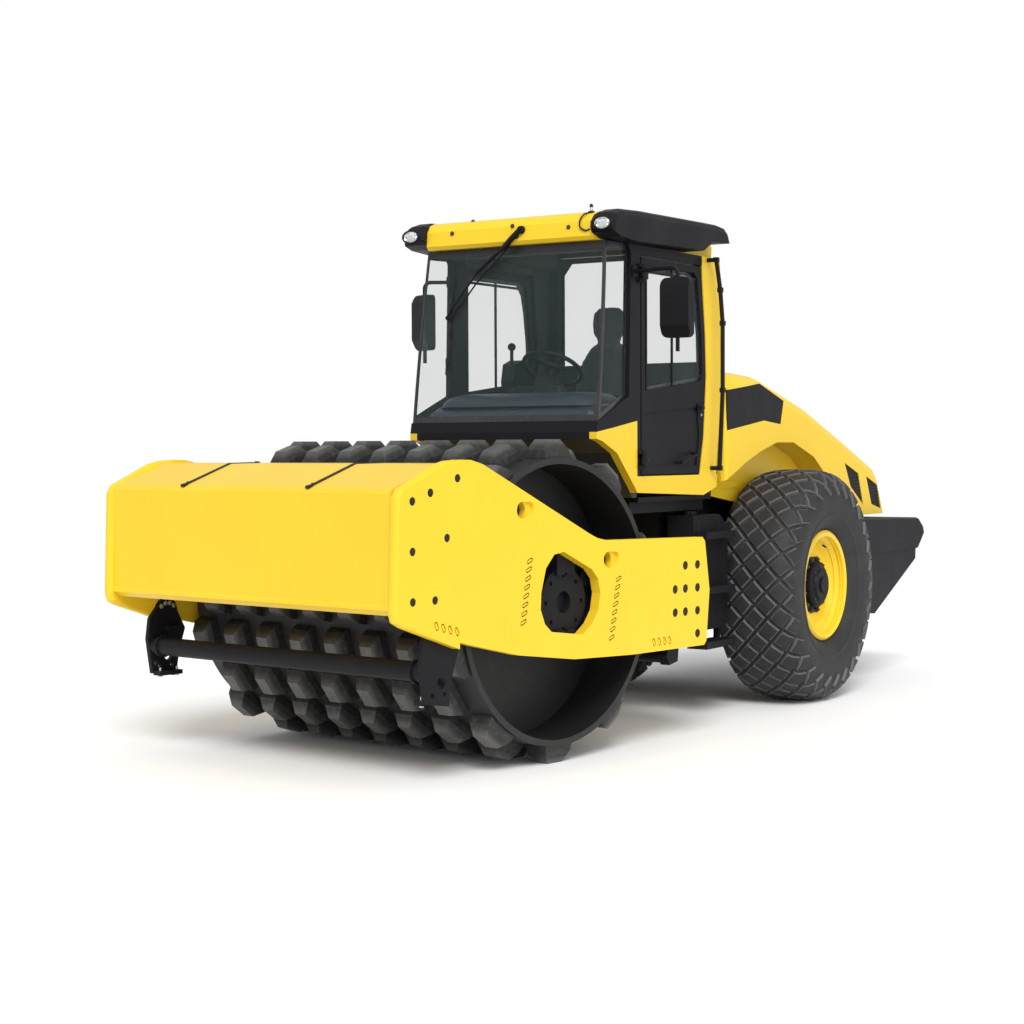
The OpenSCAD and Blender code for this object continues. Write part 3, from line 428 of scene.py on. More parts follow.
@dataclass(frozen=True)
class SafetyGlass(Coating):
    """Clear pane, faintly tinted, that keeps its gloss."""

    colour: Colour = (0.10, 0.15, 0.15)
    haze: Colour = (0.16, 0.21, 0.21)
    alpha: float = 0.085

    def sockets(self, book: NodeBook) -> dict[int | str, object]:
        """Slight haze in tint, roughness and alpha."""
        haze = book.noise(2.0, 2.0)
        return {
            "Base Color": book.mix(haze * 0.4, self.colour, self.haze),
            "Roughness": haze * 0.03 + 0.02,
            "Alpha": haze * 0.03 + (self.alpha - 0.015),
            "Specular IOR Level": 0.5,
        }

    def make(self) -> bpy.types.Material:
        """Writes the material, blended over what lies behind it."""
        material = super().make()
        material.surface_render_method = "BLENDED"
        return material


@dataclass(frozen=True)
class LampLens(Coating):
    """Clear moulded lens with fine flutes over its reflector."""

    def sockets(self, book: NodeBook) -> dict[int | str, object]:
        """Flutes across the lens."""
        ridge = book.term(
            "ShaderNodeTexWave",
            {"Vector": book.place, "Scale": 60.0},
            "Fac",
            bands_direction="Y",
        )
        return {
            "Base Color": book.mix(ridge * 0.3, (0.86, 0.89, 0.90), (0.6, 0.64, 0.66)),
            "Roughness": 0.06,
            "Alpha": ridge * 0.12 + 0.3,
            "Normal": book.bump(ridge, 0.5, 0.0015),
        }


YELLOW_PAINT = (0.88, 0.59, 0.024)


class Finish(Enum):
    """Every finish of the machine, and how its material is written."""

    YELLOW = MachinePaint("yellow_paint", YELLOW_PAINT, (0.83, 0.545, 0.019))
    BLACK = MachinePaint(
        "black_paint", (0.010, 0.010, 0.0125), (0.016, 0.016, 0.019), 0.5, 0.02, 0.04, 0.12
    )
    PLASTIC = MouldedPlastic("black_plastic", (0.0075, 0.0075, 0.0095), 420.0, 0.46, 0.08, 0.14)
    TRIM = MouldedPlastic("cab_trim", (0.036, 0.037, 0.040), 300.0, 0.75)
    SLATE = MouldedPlastic("slate_plastic", (0.026, 0.034, 0.047), 360.0, 0.4)
    CAB_SHELL = ShellPaint("cab_shell", YELLOW_PAINT, (0.030, 0.031, 0.034))
    CLOTH = SeatCloth("seat_cloth")
    DRUM = DrumSteel("drum_steel")
    RUBBER = TyreRubber("tyre_rubber")
    # Paler rubber for the lug sides: a painted highlight on the lug edges.
    SCUFF = TyreRubber("lug_side_highlight_rubber", (0.10, 0.10, 0.105), (0.17, 0.17, 0.175))
    SEAL = MouldedPlastic("black_seal", (0.010, 0.010, 0.011), 200.0, 0.6)
    FRIT = MouldedPlastic("glass_border", (0.030, 0.031, 0.034), 900.0, 0.25, 0.02)
    CHROME = Metal("rod_chrome", (0.78, 0.79, 0.80), 0.16)
    MIRROR = Metal("mirror_silver", (0.86, 0.88, 0.90), 0.10, 1.0, 0.0)
    BOLT = Metal("dark_bolt", (0.09, 0.088, 0.085), 0.42, 0.8, 0.5)
    ZINC = Metal("zinc_bolt", (0.62, 0.58, 0.42), 0.36, 0.9, 0.3)
    GLASS = SafetyGlass("clear_glass")
    LENS = LampLens("lamp_lens")
    RED = MouldedPlastic("red_lens", (0.42, 0.012, 0.010), 260.0, 0.2, 0.3)
    AMBER = MouldedPlastic("amber_lens", (0.75, 0.22, 0.010), 260.0, 0.2, 0.3)

    def material(self) -> bpy.types.Material:
        """The finish's material, written the first time that it is asked for."""
        return bpy.data.materials.get(self.value.name + "_finish") or self.value.make()


NODE_FINISH = {
    Finish.YELLOW: (
        "hood side_plate_left side_plate_right front_box rear_crossmember rim_left rim_right"
    ),
    Finish.CAB_SHELL: "cab_sill cab_rear cab_roof",
    Finish.BLACK: (
        "rear_chassis rear_axle engine_block tank_left tank_right counterweight cab_floor "
        "cab_front door right_panel grab_rail hub_left hub_right centre_joint scraper_front "
        "scraper_rear drum_mount_left drum_mount_right barrel_left barrel_right"
    ),
    Finish.PLASTIC: (
        "hood_grilles visor_left visor_right mirror_left mirror_right steering_wheel seat_base"
    ),
    Finish.SLATE: "dashboard",
    Finish.CLOTH: "seat_cushion seat_back",
    Finish.DRUM: "drum",
    Finish.RUBBER: "tyre_left tyre_right",
    Finish.CHROME: "rod_left rod_right",
    Finish.GLASS: "windscreen side_glass_left side_glass_right rear_glass right_glass door_glass",
}


def soften(
    shape: bmesh.types.BMesh, edges: Iterable[bmesh.types.BMEdge], radius: float, steps: int = 2
) -> None:
    """Rounds edges of a shape.

    Args:
        shape: The shape.
        edges: The edges to round.
        radius: Their radius.
        steps: Flats in each rounded edge.
    """
    bmesh.ops.bevel(
        shape,
        geom=list(edges),
        offset=radius,
        offset_type="OFFSET",
        affect="EDGES",
        segments=steps,
        profile=0.5,
        clamp_overlap=True,
        material=-1,
    )


def grow(
    shape: bmesh.types.BMesh, faces: list[bmesh.types.BMFace]
) -> tuple[list[bmesh.types.BMVert], list[bmesh.types.BMFace]]:
    """Extrudes faces of a shape, in place.

    Args:
        shape: The shape.
        faces: The faces.

    Returns:
        The new vertices and the new end faces.
    """
    grown = bmesh.ops.extrude_face_region(shape, geom=faces)["geom"]
    verts = [g for g in grown if isinstance(g, bmesh.types.BMVert)]
    return verts, [g for g in grown if isinstance(g, bmesh.types.BMFace)]


def curve_points(points: Sequence[Point], steps: int = 6) -> list[Point]:
    """Smooth line through a few points, as a Catmull-Rom spline.

    Args:
        points: Points that the line passes.
        steps: Points in each span.

    Returns:
        The line's points.
    """
    knots = [Vector(p) for p in points]
    knots = [2 * knots[0] - knots[1], *knots, 2 * knots[-1] - knots[-2]]
    line = []
    for a, b, c, d in zip(knots, knots[1:], knots[2:], knots[3:]):
        for t in (k / steps for k in range(steps)):
            bend = (2 * a - 5 * b + 4 * c - d) * t**2 + (3 * b - a - 3 * c + d) * t**3
            line.append(tuple(0.5 * (2 * b + (c - a) * t + bend)))
    line.append(tuple(knots[-2]))
    return line


def oval_points(start: Flat, end: Flat, radius: float, steps: int = 8) -> list[Flat]:
    """Outline of a slot with round ends between two points.

    Args:
        start: Middle of its first end.
        end: Middle of its second end.
        radius: Radius of the ends.
        steps: Steps round each end.

    Returns:
        The outline's points.
    """
    way = math.atan2(end[1] - start[1], end[0] - start[0])
    line = []
    for (x, z), turn in ((end, way - math.pi / 2), (start, way + math.pi / 2)):
        for angle in (turn + math.pi * k / steps for k in range(steps + 1)):
            line.append((x + radius * math.cos(angle), z + radius * math.sin(angle)))
    return line


def circle_points(count: int, radius: float, start: float = 0.0) -> list[Flat]:
    """Points spread evenly round a circle.

    Args:
        count: Number of points.
        radius: The circle's radius.
        start: Place of the first point, in steps.

    Returns:
        The points.
    """
    angles = [math.tau * (k + start) / count for k in range(count)]
    return [(radius * math.cos(angle), radius * math.sin(angle)) for angle in angles]


class Piece:
    """One visible piece, gathered from shapes and then placed on its body."""

    def __init__(self, name: str, site: Site, finish: Finish) -> None:
        """Starts an empty piece.

        Args:
            name: The piece's name.
            site: The group whose millimetres it is drawn in.
            finish: The finish of its first shapes.
        """
        self.name = name
        self.site = site
        self.finishes = [finish]
        self.current = 0
        self.mesh = bmesh.new()

    def use(self, finish: Finish) -> "Piece":
        """Later shapes take this finish."""
        if finish not in self.finishes:
            self.finishes.append(finish)
        self.current = self.finishes.index(finish)
        return self

    def take(
        self, shape: bmesh.types.BMesh, matrix: Matrix | None = None, keep: bool = False
    ) -> None:
        """Adds a finished shape to the piece and frees it.

        Args:
            shape: The shape, in millimetres.
            matrix: Where it goes, or None where it is in place.
            keep: True where its faces already have their finishes.
        """
        if matrix is not None:
            bmesh.ops.transform(shape, matrix=matrix, verts=shape.verts)
        bmesh.ops.recalc_face_normals(shape, faces=shape.faces)
        if not keep:
            for face in shape.faces:
                face.material_index = self.current
        scratch = bpy.data.meshes.new("scratch")
        shape.to_mesh(scratch)
        shape.free()
        self.mesh.from_mesh(scratch)
        bpy.data.meshes.remove(scratch)

    def box(self, start: Point, end: Point, round_by: float = 0.0) -> None:
        """Block between two opposite corners.

        Args:
            start: One corner.
            end: The corner opposite to it.
            round_by: Radius of its edges.
        """
        shape = bmesh.new()
        bmesh.ops.create_cube(shape, size=1.0)
        size = [abs(b - a) for a, b in zip(start, end)]
        bmesh.ops.scale(shape, vec=size, verts=shape.verts)
        if round_by:
            soften(shape, shape.edges, round_by)
        self.take(shape, Matrix.Translation([(a + b) / 2 for a, b in zip(start, end)]))

    def rod(
        self,
        start: Point,
        end: Point,
        radius: float,
        tip: float | None = None,
        sides: int = 24,
        round_by: float = 0.0,
    ) -> None:
        """Round or many-sided bar between two points.

        Args:
            start: Middle of the first end.
            end: Middle of the second end.
            radius: Radius at the first end.
            tip: Radius at the second end, or None where it is the same.
            sides: Number of sides.
            round_by: Radius of its end edges.
        """
        shape = bmesh.new()
        line = Vector(end) - Vector(start)
        bmesh.ops.create_cone(
            shape,
            cap_ends=True,
            segments=sides,
            radius1=radius,
            radius2=radius if tip is None else tip,
            depth=line.length,
        )
        if round_by:
            rims = [e for e in shape.edges if abs(e.verts[0].co.z - e.verts[1].co.z) < 1e-6]
            soften(shape, rims, round_by)
        turn = line.to_track_quat("Z", "Y").to_matrix().to_4x4()
        self.take(shape, Matrix.Translation((Vector(start) + Vector(end)) / 2) @ turn)

    def tube(self, path: Sequence[Point], radius: float, sides: int = 14) -> None:
        """Bent tube that follows a path, from a ring that is extruded point by point.

        Args:
            path: Points of its middle line.
            radius: Radius of the tube.
            sides: Sides of the tube.
        """
        shape = bmesh.new()
        points = [Vector(p) for p in path]
        ring = bmesh.ops.create_circle(shape, cap_ends=True, segments=sides, radius=radius)
        ahead = (points[1] - points[0]).normalized()
        pose = Matrix.LocRotScale(points[0], ahead.to_track_quat("Z", "Y"), None)
        bmesh.ops.transform(shape, matrix=pose, verts=ring["verts"])
        faces = shape.faces[:]
        for i, point in enumerate(points[1:], 1):
            verts, faces = grow(shape, faces)
            before = (point - points[i - 1]).normalized()
            after = points[min(i + 1, len(points) - 1)] - point
            heading = (before + after.normalized()).normalized()
            swing = ahead.rotation_difference(heading).to_matrix().to_4x4()
            step = Matrix.Translation(point) @ swing @ Matrix.Translation(-points[i - 1])
            bmesh.ops.transform(shape, matrix=step, verts=verts)
            ahead = heading
        self.take(shape)

    def loft(self, levels: Sequence[Level], corner: float) -> None:
        """Upright form through level sections, each a rectangle with round corners.

        Args:
            levels: (height, back, front, half width) from the lowest to the highest.
            corner: Largest radius of the corners.
        """
        shape = bmesh.new()
        rings = []
        for z, back, front, half in levels:
            r = min(corner, (front - back) / 2.1, half / 1.1)
            middles = [(front - r, half - r), (back + r, half - r), (back + r, r - half),
                       (front - r, r - half)]
            ring = []
            for quarter, (x, y) in enumerate(middles):
                for step in range(5):
                    angle = math.radians(quarter * 90 + step * 22.5)
                    place = (x + r * math.cos(angle), y + r * math.sin(angle), z)
                    ring.append(shape.verts.new(place))
            rings.append(ring)
        for low, high in zip(rings, rings[1:]):
            for i, vert in enumerate(low):
                j = (i + 1) % len(low)
                shape.faces.new((vert, low[j], high[j], high[i]))
        shape.faces.new(list(reversed(rings[0])))
        shape.faces.new(rings[-1])
        self.take(shape)

    def plate(
        self,
        outline: Sequence[Flat],
        start: float,
        end: float,
        plane: str = "xz",
        round_by: float = 0.0,
    ) -> None:
        """Flat outline that is extruded across its plane.

        Args:
            outline: Corners in the plane.
            start: Where the plate starts across the plane.
            end: Where it ends.
            plane: "xz" or "yz".
            round_by: Radius of the edges round the two faces.
        """
        shape = bmesh.new()
        upright = plane == "xz"
        across = Vector((0, 1, 0) if upright else (1, 0, 0))
        corners = [(a, start, b) if upright else (start, a, b) for a, b in outline]
        face = shape.faces.new([shape.verts.new(corner) for corner in corners])
        verts, _ = grow(shape, [face])
        bmesh.ops.translate(shape, vec=across * (end - start), verts=verts)
        if round_by:
            flat = [f for f in shape.faces if abs(f.normal.dot(across)) > 0.99]
            soften(shape, {e for f in flat for e in f.edges}, round_by)
        self.take(shape)

    def lathe(
        self, profile: Sequence[Flat], place: Matrix, steps: int = 48, closed: bool = False
    ) -> None:
        """Turned shape about the z axis of a place.

        Args:
            profile: (radius, height) points.
            place: Where the turned axis stands.
            steps: Steps round the axis.
            closed: True where the profile is a loop.
        """
        shape = bmesh.new()
        verts = [shape.verts.new((r, 0, h)) for r, h in profile]
        edges = [shape.edges.new(pair) for pair in zip(verts, verts[1:])]
        if closed:
            edges.append(shape.edges.new((verts[-1], verts[0])))
        bmesh.ops.spin(
            shape,
            geom=verts + edges,
            cent=(0, 0, 0),
            axis=(0, 0, 1),
            angle=math.tau,
            steps=steps,
            use_merge=True,
        )
        bmesh.ops.remove_doubles(shape, verts=shape.verts, dist=0.01)
        self.take(shape, place)

    def bolt(self, foot: Point, out: Point, across: float) -> None:
        """Hexagon bolt head on a washer.

        Args:
            foot: Where the washer sits.
            out: Unit direction that the head points in.
            across: Radius of the head's corners.
        """
        base, way = Vector(foot), Vector(out)
        self.rod(base, base + way * across * WASHER_HEIGHT, across * WASHER_WIDTH, sides=20)
        low = base + way * across * HEAD_FOOT
        high = low + way * across * HEAD_HEIGHT
        self.rod(low, high, across, sides=6, round_by=across * HEAD_EDGE)

    def done(
        self, body: str, smooth: float = 35.0, replaces: Iterable[str] = ()
    ) -> bpy.types.Object:
        """Places the piece, gives it its finishes and lets it ride on its body.

        Args:
            body: The body's name.
            smooth: Angle in degrees past which an edge stays sharp.
            replaces: Nodes that this piece stands for.

        Returns:
            The finished object.
        """
        matrix = self.site.value
        bmesh.ops.transform(self.mesh, matrix=matrix, verts=self.mesh.verts)
        if matrix.determinant() < 0:
            bmesh.ops.reverse_faces(self.mesh, faces=self.mesh.faces)
        data = bpy.data.meshes.new(self.name)
        self.mesh.to_mesh(data)
        self.mesh.free()
        for finish in self.finishes:
            data.materials.append(finish.material())
        data.shade_smooth()
        data.set_sharp_from_angle(angle=math.radians(smooth))
        piece = bpy.data.objects.new(self.name, data)
        bpy.context.scene.collection.objects.link(piece)
        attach(piece, body)
        if replaces:
            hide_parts(*replaces)
        LOG.info("%s rides on %s, %d faces", self.name, body, len(data.polygons))
        return piece


@dataclass(frozen=True)
class Tyre:
    """Rear tyre: carcass turned from its profile and a diamond pattern of raised lugs, with
    painted highlights on the lugs' sides.
    """

    radius: float = 790.0
    lug_height: float = 24.0
    lug_root: float = 3.0
    lug_taper: float = 0.9
    lug_edge: float = 3.5
    shoulder: Flat = (230.0, 360.0)
    shoulder_cut: float = 0.35
    around: int = 28
    rows: tuple[float, ...] = (-294, -210, -126, -42, 42, 126, 210, 294)
    half_across: float = 71.0
    half_along: float = 76.0
    crown: tuple[Flat, ...] = (
        (0, 768), (70, 767), (140, 762), (200, 748), (242, 718), (264, 676), (274, 630),
        (277, 600),
    )
    wall: tuple[Flat, ...] = (
        (276, 572), (274, 535), (266, 500), (270, 492), (270, 478), (262, 468), (252, 450),
        (230, 416), (216, 400), (195, 384), (195, 352),
    )

    def skin(self, run: float) -> tuple[float, float, Flat]:
        """Place on the crown at a run across the tread from its middle.

        Args:
            run: Distance along the surface, signed.

        Returns:
            Sideways place, radius, and outward direction (sideways, radial).
        """
        left = abs(run)
        side = 1 if run >= 0 else -1
        for (y0, r0), (y1, r1) in zip(self.crown, self.crown[1:]):
            span = math.hypot(y1 - y0, r1 - r0)
            if left <= span or (y1, r1) == self.crown[-1]:
                t = left / span
                out = ((r0 - r1) / span * side, (y1 - y0) / span)
                return (y0 + (y1 - y0) * t) * side, r0 + (r1 - r0) * t, out
            left -= span
        raise ValueError("the crown has no spans")

    def lug(self) -> bmesh.types.BMesh:
        """One diamond lug in a flat sheet: x round the tyre, y across it, z outwards; its sides
        take a paler rubber as a painted highlight.
        """
        shape = bmesh.new()
        bmesh.ops.create_grid(shape, x_segments=4, y_segments=4, size=math.sqrt(0.5))
        eighth = Matrix.Rotation(math.radians(45), 3, "Z")
        bmesh.ops.rotate(shape, cent=(0, 0, 0), matrix=eighth, verts=shape.verts)
        bmesh.ops.scale(shape, vec=(self.half_along, self.half_across, 1), verts=shape.verts)
        top, _ = grow(shape, shape.faces[:])
        bmesh.ops.translate(shape, vec=(0, 0, self.lug_height + self.lug_root), verts=top)
        bmesh.ops.scale(shape, vec=(self.lug_taper, self.lug_taper, 1), verts=top)
        rim = [e for e in shape.edges if all(v in top for v in e.verts)
               and any(abs(f.normal.z) < 0.7 for f in e.link_faces)]
        soften(shape, rim, self.lug_edge, 1)
        # Side faces take the second finish, a paler rubber painted as a highlight on the lug
        # edges.
        for face in shape.faces:
            face.material_index = int(abs(face.normal.z) < 0.95)
        return shape

    def tread(self, piece: Piece) -> None:
        """Lays the lugs over the crown and shoulders of a piece."""
        pattern = bpy.data.meshes.new("lug")
        lug = self.lug()
        lug.to_mesh(pattern)
        lug.free()
        sheet = bmesh.new()
        pitch = math.tau * self.radius / self.around
        for index, run in enumerate(self.rows):
            for k in range(self.around):
                start = len(sheet.verts)
                sheet.from_mesh(pattern)
                sheet.verts.ensure_lookup_table()
                shift = ((k + 0.5 * (index % 2)) * pitch, run, -self.lug_root)
                bmesh.ops.translate(sheet, vec=shift, verts=sheet.verts[start:])
        bpy.data.meshes.remove(pattern)
        near, far = self.shoulder
        for vert in sheet.verts:
            turn = vert.co.x / self.radius
            y, r, out = self.skin(vert.co.y)
            fade = min(1.0, max(0.0, (abs(vert.co.y) - near) / (far - near)))
            height = vert.co.z * (1 - self.shoulder_cut * fade)
            y += out[0] * height
            r += out[1] * height
            vert.co = (r * math.sin(turn), y, r * math.cos(turn))
        piece.take(sheet, keep=True)

    def build(self) -> None:
        """Builds both tyres in place of their plain solids."""
        half = self.crown + self.wall
        loop = [(r, y) for y, r in half] + [(r, -y) for y, r in reversed(half[1:])]
        for side, _ in SIDES:
            site = Site["WHEEL_" + side.upper()]
            carcass = Piece(f"tyre_{side}_carcass", site, Finish.RUBBER)
            carcass.lathe(loop, AXLE_TURN, 96, closed=True)
            carcass.done(f"wheel_{side}", 30, [f"tyre_{side}"])
            # The tread's second finish paints highlights on the lug sides.
            tread = Piece(f"tyre_{side}_tread", site, Finish.RUBBER).use(Finish.SCUFF)
            self.tread(tread)
            tread.done(f"wheel_{side}", 30)


@dataclass(frozen=True)
class WheelTrim:
    """Clamp ring, nuts, valve and rim ridges of each wheel, and the hub's cover bolts."""

    ring_in: float = 151.0
    ring_out: float = 192.0
    face: float = 116.5
    nuts: int = 12
    nut_circle: float = 180.0
    cover_face: float = 174.5
    cover_circle: float = 124.0
    ridges: tuple[Flat, ...] = ((309, 150), (334.5, 186))

    def build(self) -> None:
        """Builds the trim of both wheels."""
        face = self.face
        for side, _ in SIDES:
            piece = Piece(f"wheel_nuts_{side}", Site["WHEEL_" + side.upper()], Finish.BLACK)
            ring = [(self.ring_in, face), (self.ring_out, face), (self.ring_out, face + 7),
                    (self.ring_out - 4, face + 10), (self.ring_in, face + 10)]
            piece.lathe(ring, AXLE_TURN, 48, closed=True)
            piece.use(Finish.BOLT)
            for x, z in circle_points(self.nuts, self.nut_circle, 0.5):
                piece.bolt((x, face + 10, z), (0, 1, 0), 17)
                piece.rod((x, face + 20, z), (x, face + 34, z), 8, sides=12, round_by=1.5)
            for x, z in circle_points(8, self.cover_circle):
                piece.bolt((x, self.cover_face, z), (0, 1, 0), 8)
            piece.use(Finish.SEAL).rod((-96, 150, 268), (-92, 178, 254), 7, 6, 12, 1)
            piece.use(Finish.YELLOW)
            for radius, depth in self.ridges:
                ridge = [(radius + 3, depth - 9), (radius - 5, depth - 3),
                         (radius - 5, depth + 3), (radius + 3, depth + 9)]
                piece.lathe(ridge, AXLE_TURN, 64, closed=True)
            piece.done(f"wheel_{side}")


@dataclass(frozen=True)
class FrontTrim:
    """Painted shade in the side plates' bolt holes and round their plug welds, studs on the
    plates, strips on the box and the scraper's fastenings.
    """

    plate_y: float = 1165.0
    plate_t: float = 60.0
    nose_x: float = 2905.0
    drum_reach: float = 1550.0
    holes: tuple[tuple[float, tuple[Flat, ...]], ...] = (
        (22, ((2810, 1470), (2680, 1510), (2480, 1580), (2560, 1280), (2810, 1220),
              (2810, 970), (2650, 970))),
        (26, ((530, 1045), (410, 1045), (630, 910), (530, 910), (410, 910), (630, 775),
              (530, 775), (410, 775), (410, 640))),
    )
    studs: tuple[Flat, ...] = ((700, 1010), (770, 1010), (470, 1140), (500, 1105), (820, 900))

    def bolts(self) -> None:
        """Painted shade as dark plugs filling the bolt holes, and small studs on both side
        plates.
        """
        y = self.plate_y
        for side, s in SIDES:
            piece = Piece(f"plate_bolts_{side}", Site.FRONT, Finish.SEAL)
            for radius, places in self.holes:
                for x, z in places:
                    # Dark plug filling each hole to just under the surface: painted shade in the
                    # hole.
                    floor, mouth = (x, s * (y - self.plate_t / 2), z), (x, s * (y - 4), z)
                    piece.rod(floor, mouth, radius - 0.3, sides=32)
            piece.use(Finish.YELLOW)
            for x, z in self.studs:
                foot, head = (x, s * (y - 1), z), (x, s * (y + 2), z)
                piece.rod(foot, head, 7, sides=12, round_by=1)
            piece.done("front_frame")

    def welds(self) -> None:
        """Painted shade round the plug welds of both side plates: a dark floor in each weld's
        groove under a yellow centre.
        """
        reach, nose = self.drum_reach, self.nose_x
        marks = []
        for x0, z0, x1, z1 in ((reach + 370, 1135, reach + 425, 812),
                               (reach - 388, 1000, reach - 325, 676)):
            for t in (k / 7 for k in range(8)):
                x, z = x0 + (x1 - x0) * t, z0 + (z1 - z0) * t
                marks.append(((x - 14, z + 6), (x + 14, z - 6), 12, 8))
        for k in range(4):
            for x, z in ((nose - 420 + 50 * k, 790 + 12.5 * k), (reach - 870 + 50 * k, 608)):
                marks.append(((x, z), (x + 10, z + 22), 13, 12))
        for side, s in SIDES:
            piece = Piece(f"plate_welds_{side}", Site.FRONT, Finish.SEAL)
            for start, end, radius, depth in marks:
                floor = self.plate_y - depth
                # The dark floor of the groove round each weld is painted shade; the yellow centre
                # rises nearly to the surface.
                for finish, inset, height in ((Finish.SEAL, 0.4, 2.5),
                                              (Finish.YELLOW, 7, depth - 2)):
                    oval = oval_points(start, end, radius - inset)
                    piece.use(finish).plate(oval, s * floor, s * (floor + height))
            piece.done("front_frame")

    def strips(self) -> None:
        """Dark strips that lie in the two grooves on top of the box."""
        low = [(self.nose_x - 3, 1529), (self.nose_x - 45, 1538), (2560, 1643), (2345, 1647)]
        high = [(x, z + 14) for x, z in reversed(low)]
        piece = Piece("box_strips", Site.FRONT, Finish.SEAL)
        for y in (-500, 500):
            piece.plate([*low, *high], y - 14, y + 14, round_by=3)
            for x, z in ((2360, 1656), (self.nose_x - 52, 1549)):
                piece.rod((x, y, z), (x, y, z + 9), 15, 12, 16, 2)
        piece.done("front_frame")

    def scraper(self) -> None:
        """Bolts on the scraper's brackets."""
        x0 = self.drum_reach + 1080
        piece = Piece("scraper_bolts", Site.FRONT, Finish.BOLT)
        for _, s in SIDES:
            inner = s * (self.plate_y - self.plate_t - 28.4)
            piece.use(Finish.ZINC)
            for x, z in ((-128, 826), (-98, 842), (-66, 842), (-36, 826)):
                piece.bolt((x0 + x, inner, z), (0, -s, 0), 12)
            y = inner - s * 30
            for x in (x0 - 120, x0):
                piece.bolt((x, y, 430), (0, 0, -1), 13)
                piece.rod((x, y, 455), (x, y, 474), 8)
            piece.use(Finish.BOLT).bolt((x0 - 60, inner, 640), (0, -s, 0), 14)
            piece.bolt((x0 + 10, inner, 500), (0, -s, 0), 12)
        piece.done("front_frame")

    def build(self) -> None:
        """Builds the front frame's trim."""
        self.bolts()
        self.welds()
        self.strips()
        self.scraper()


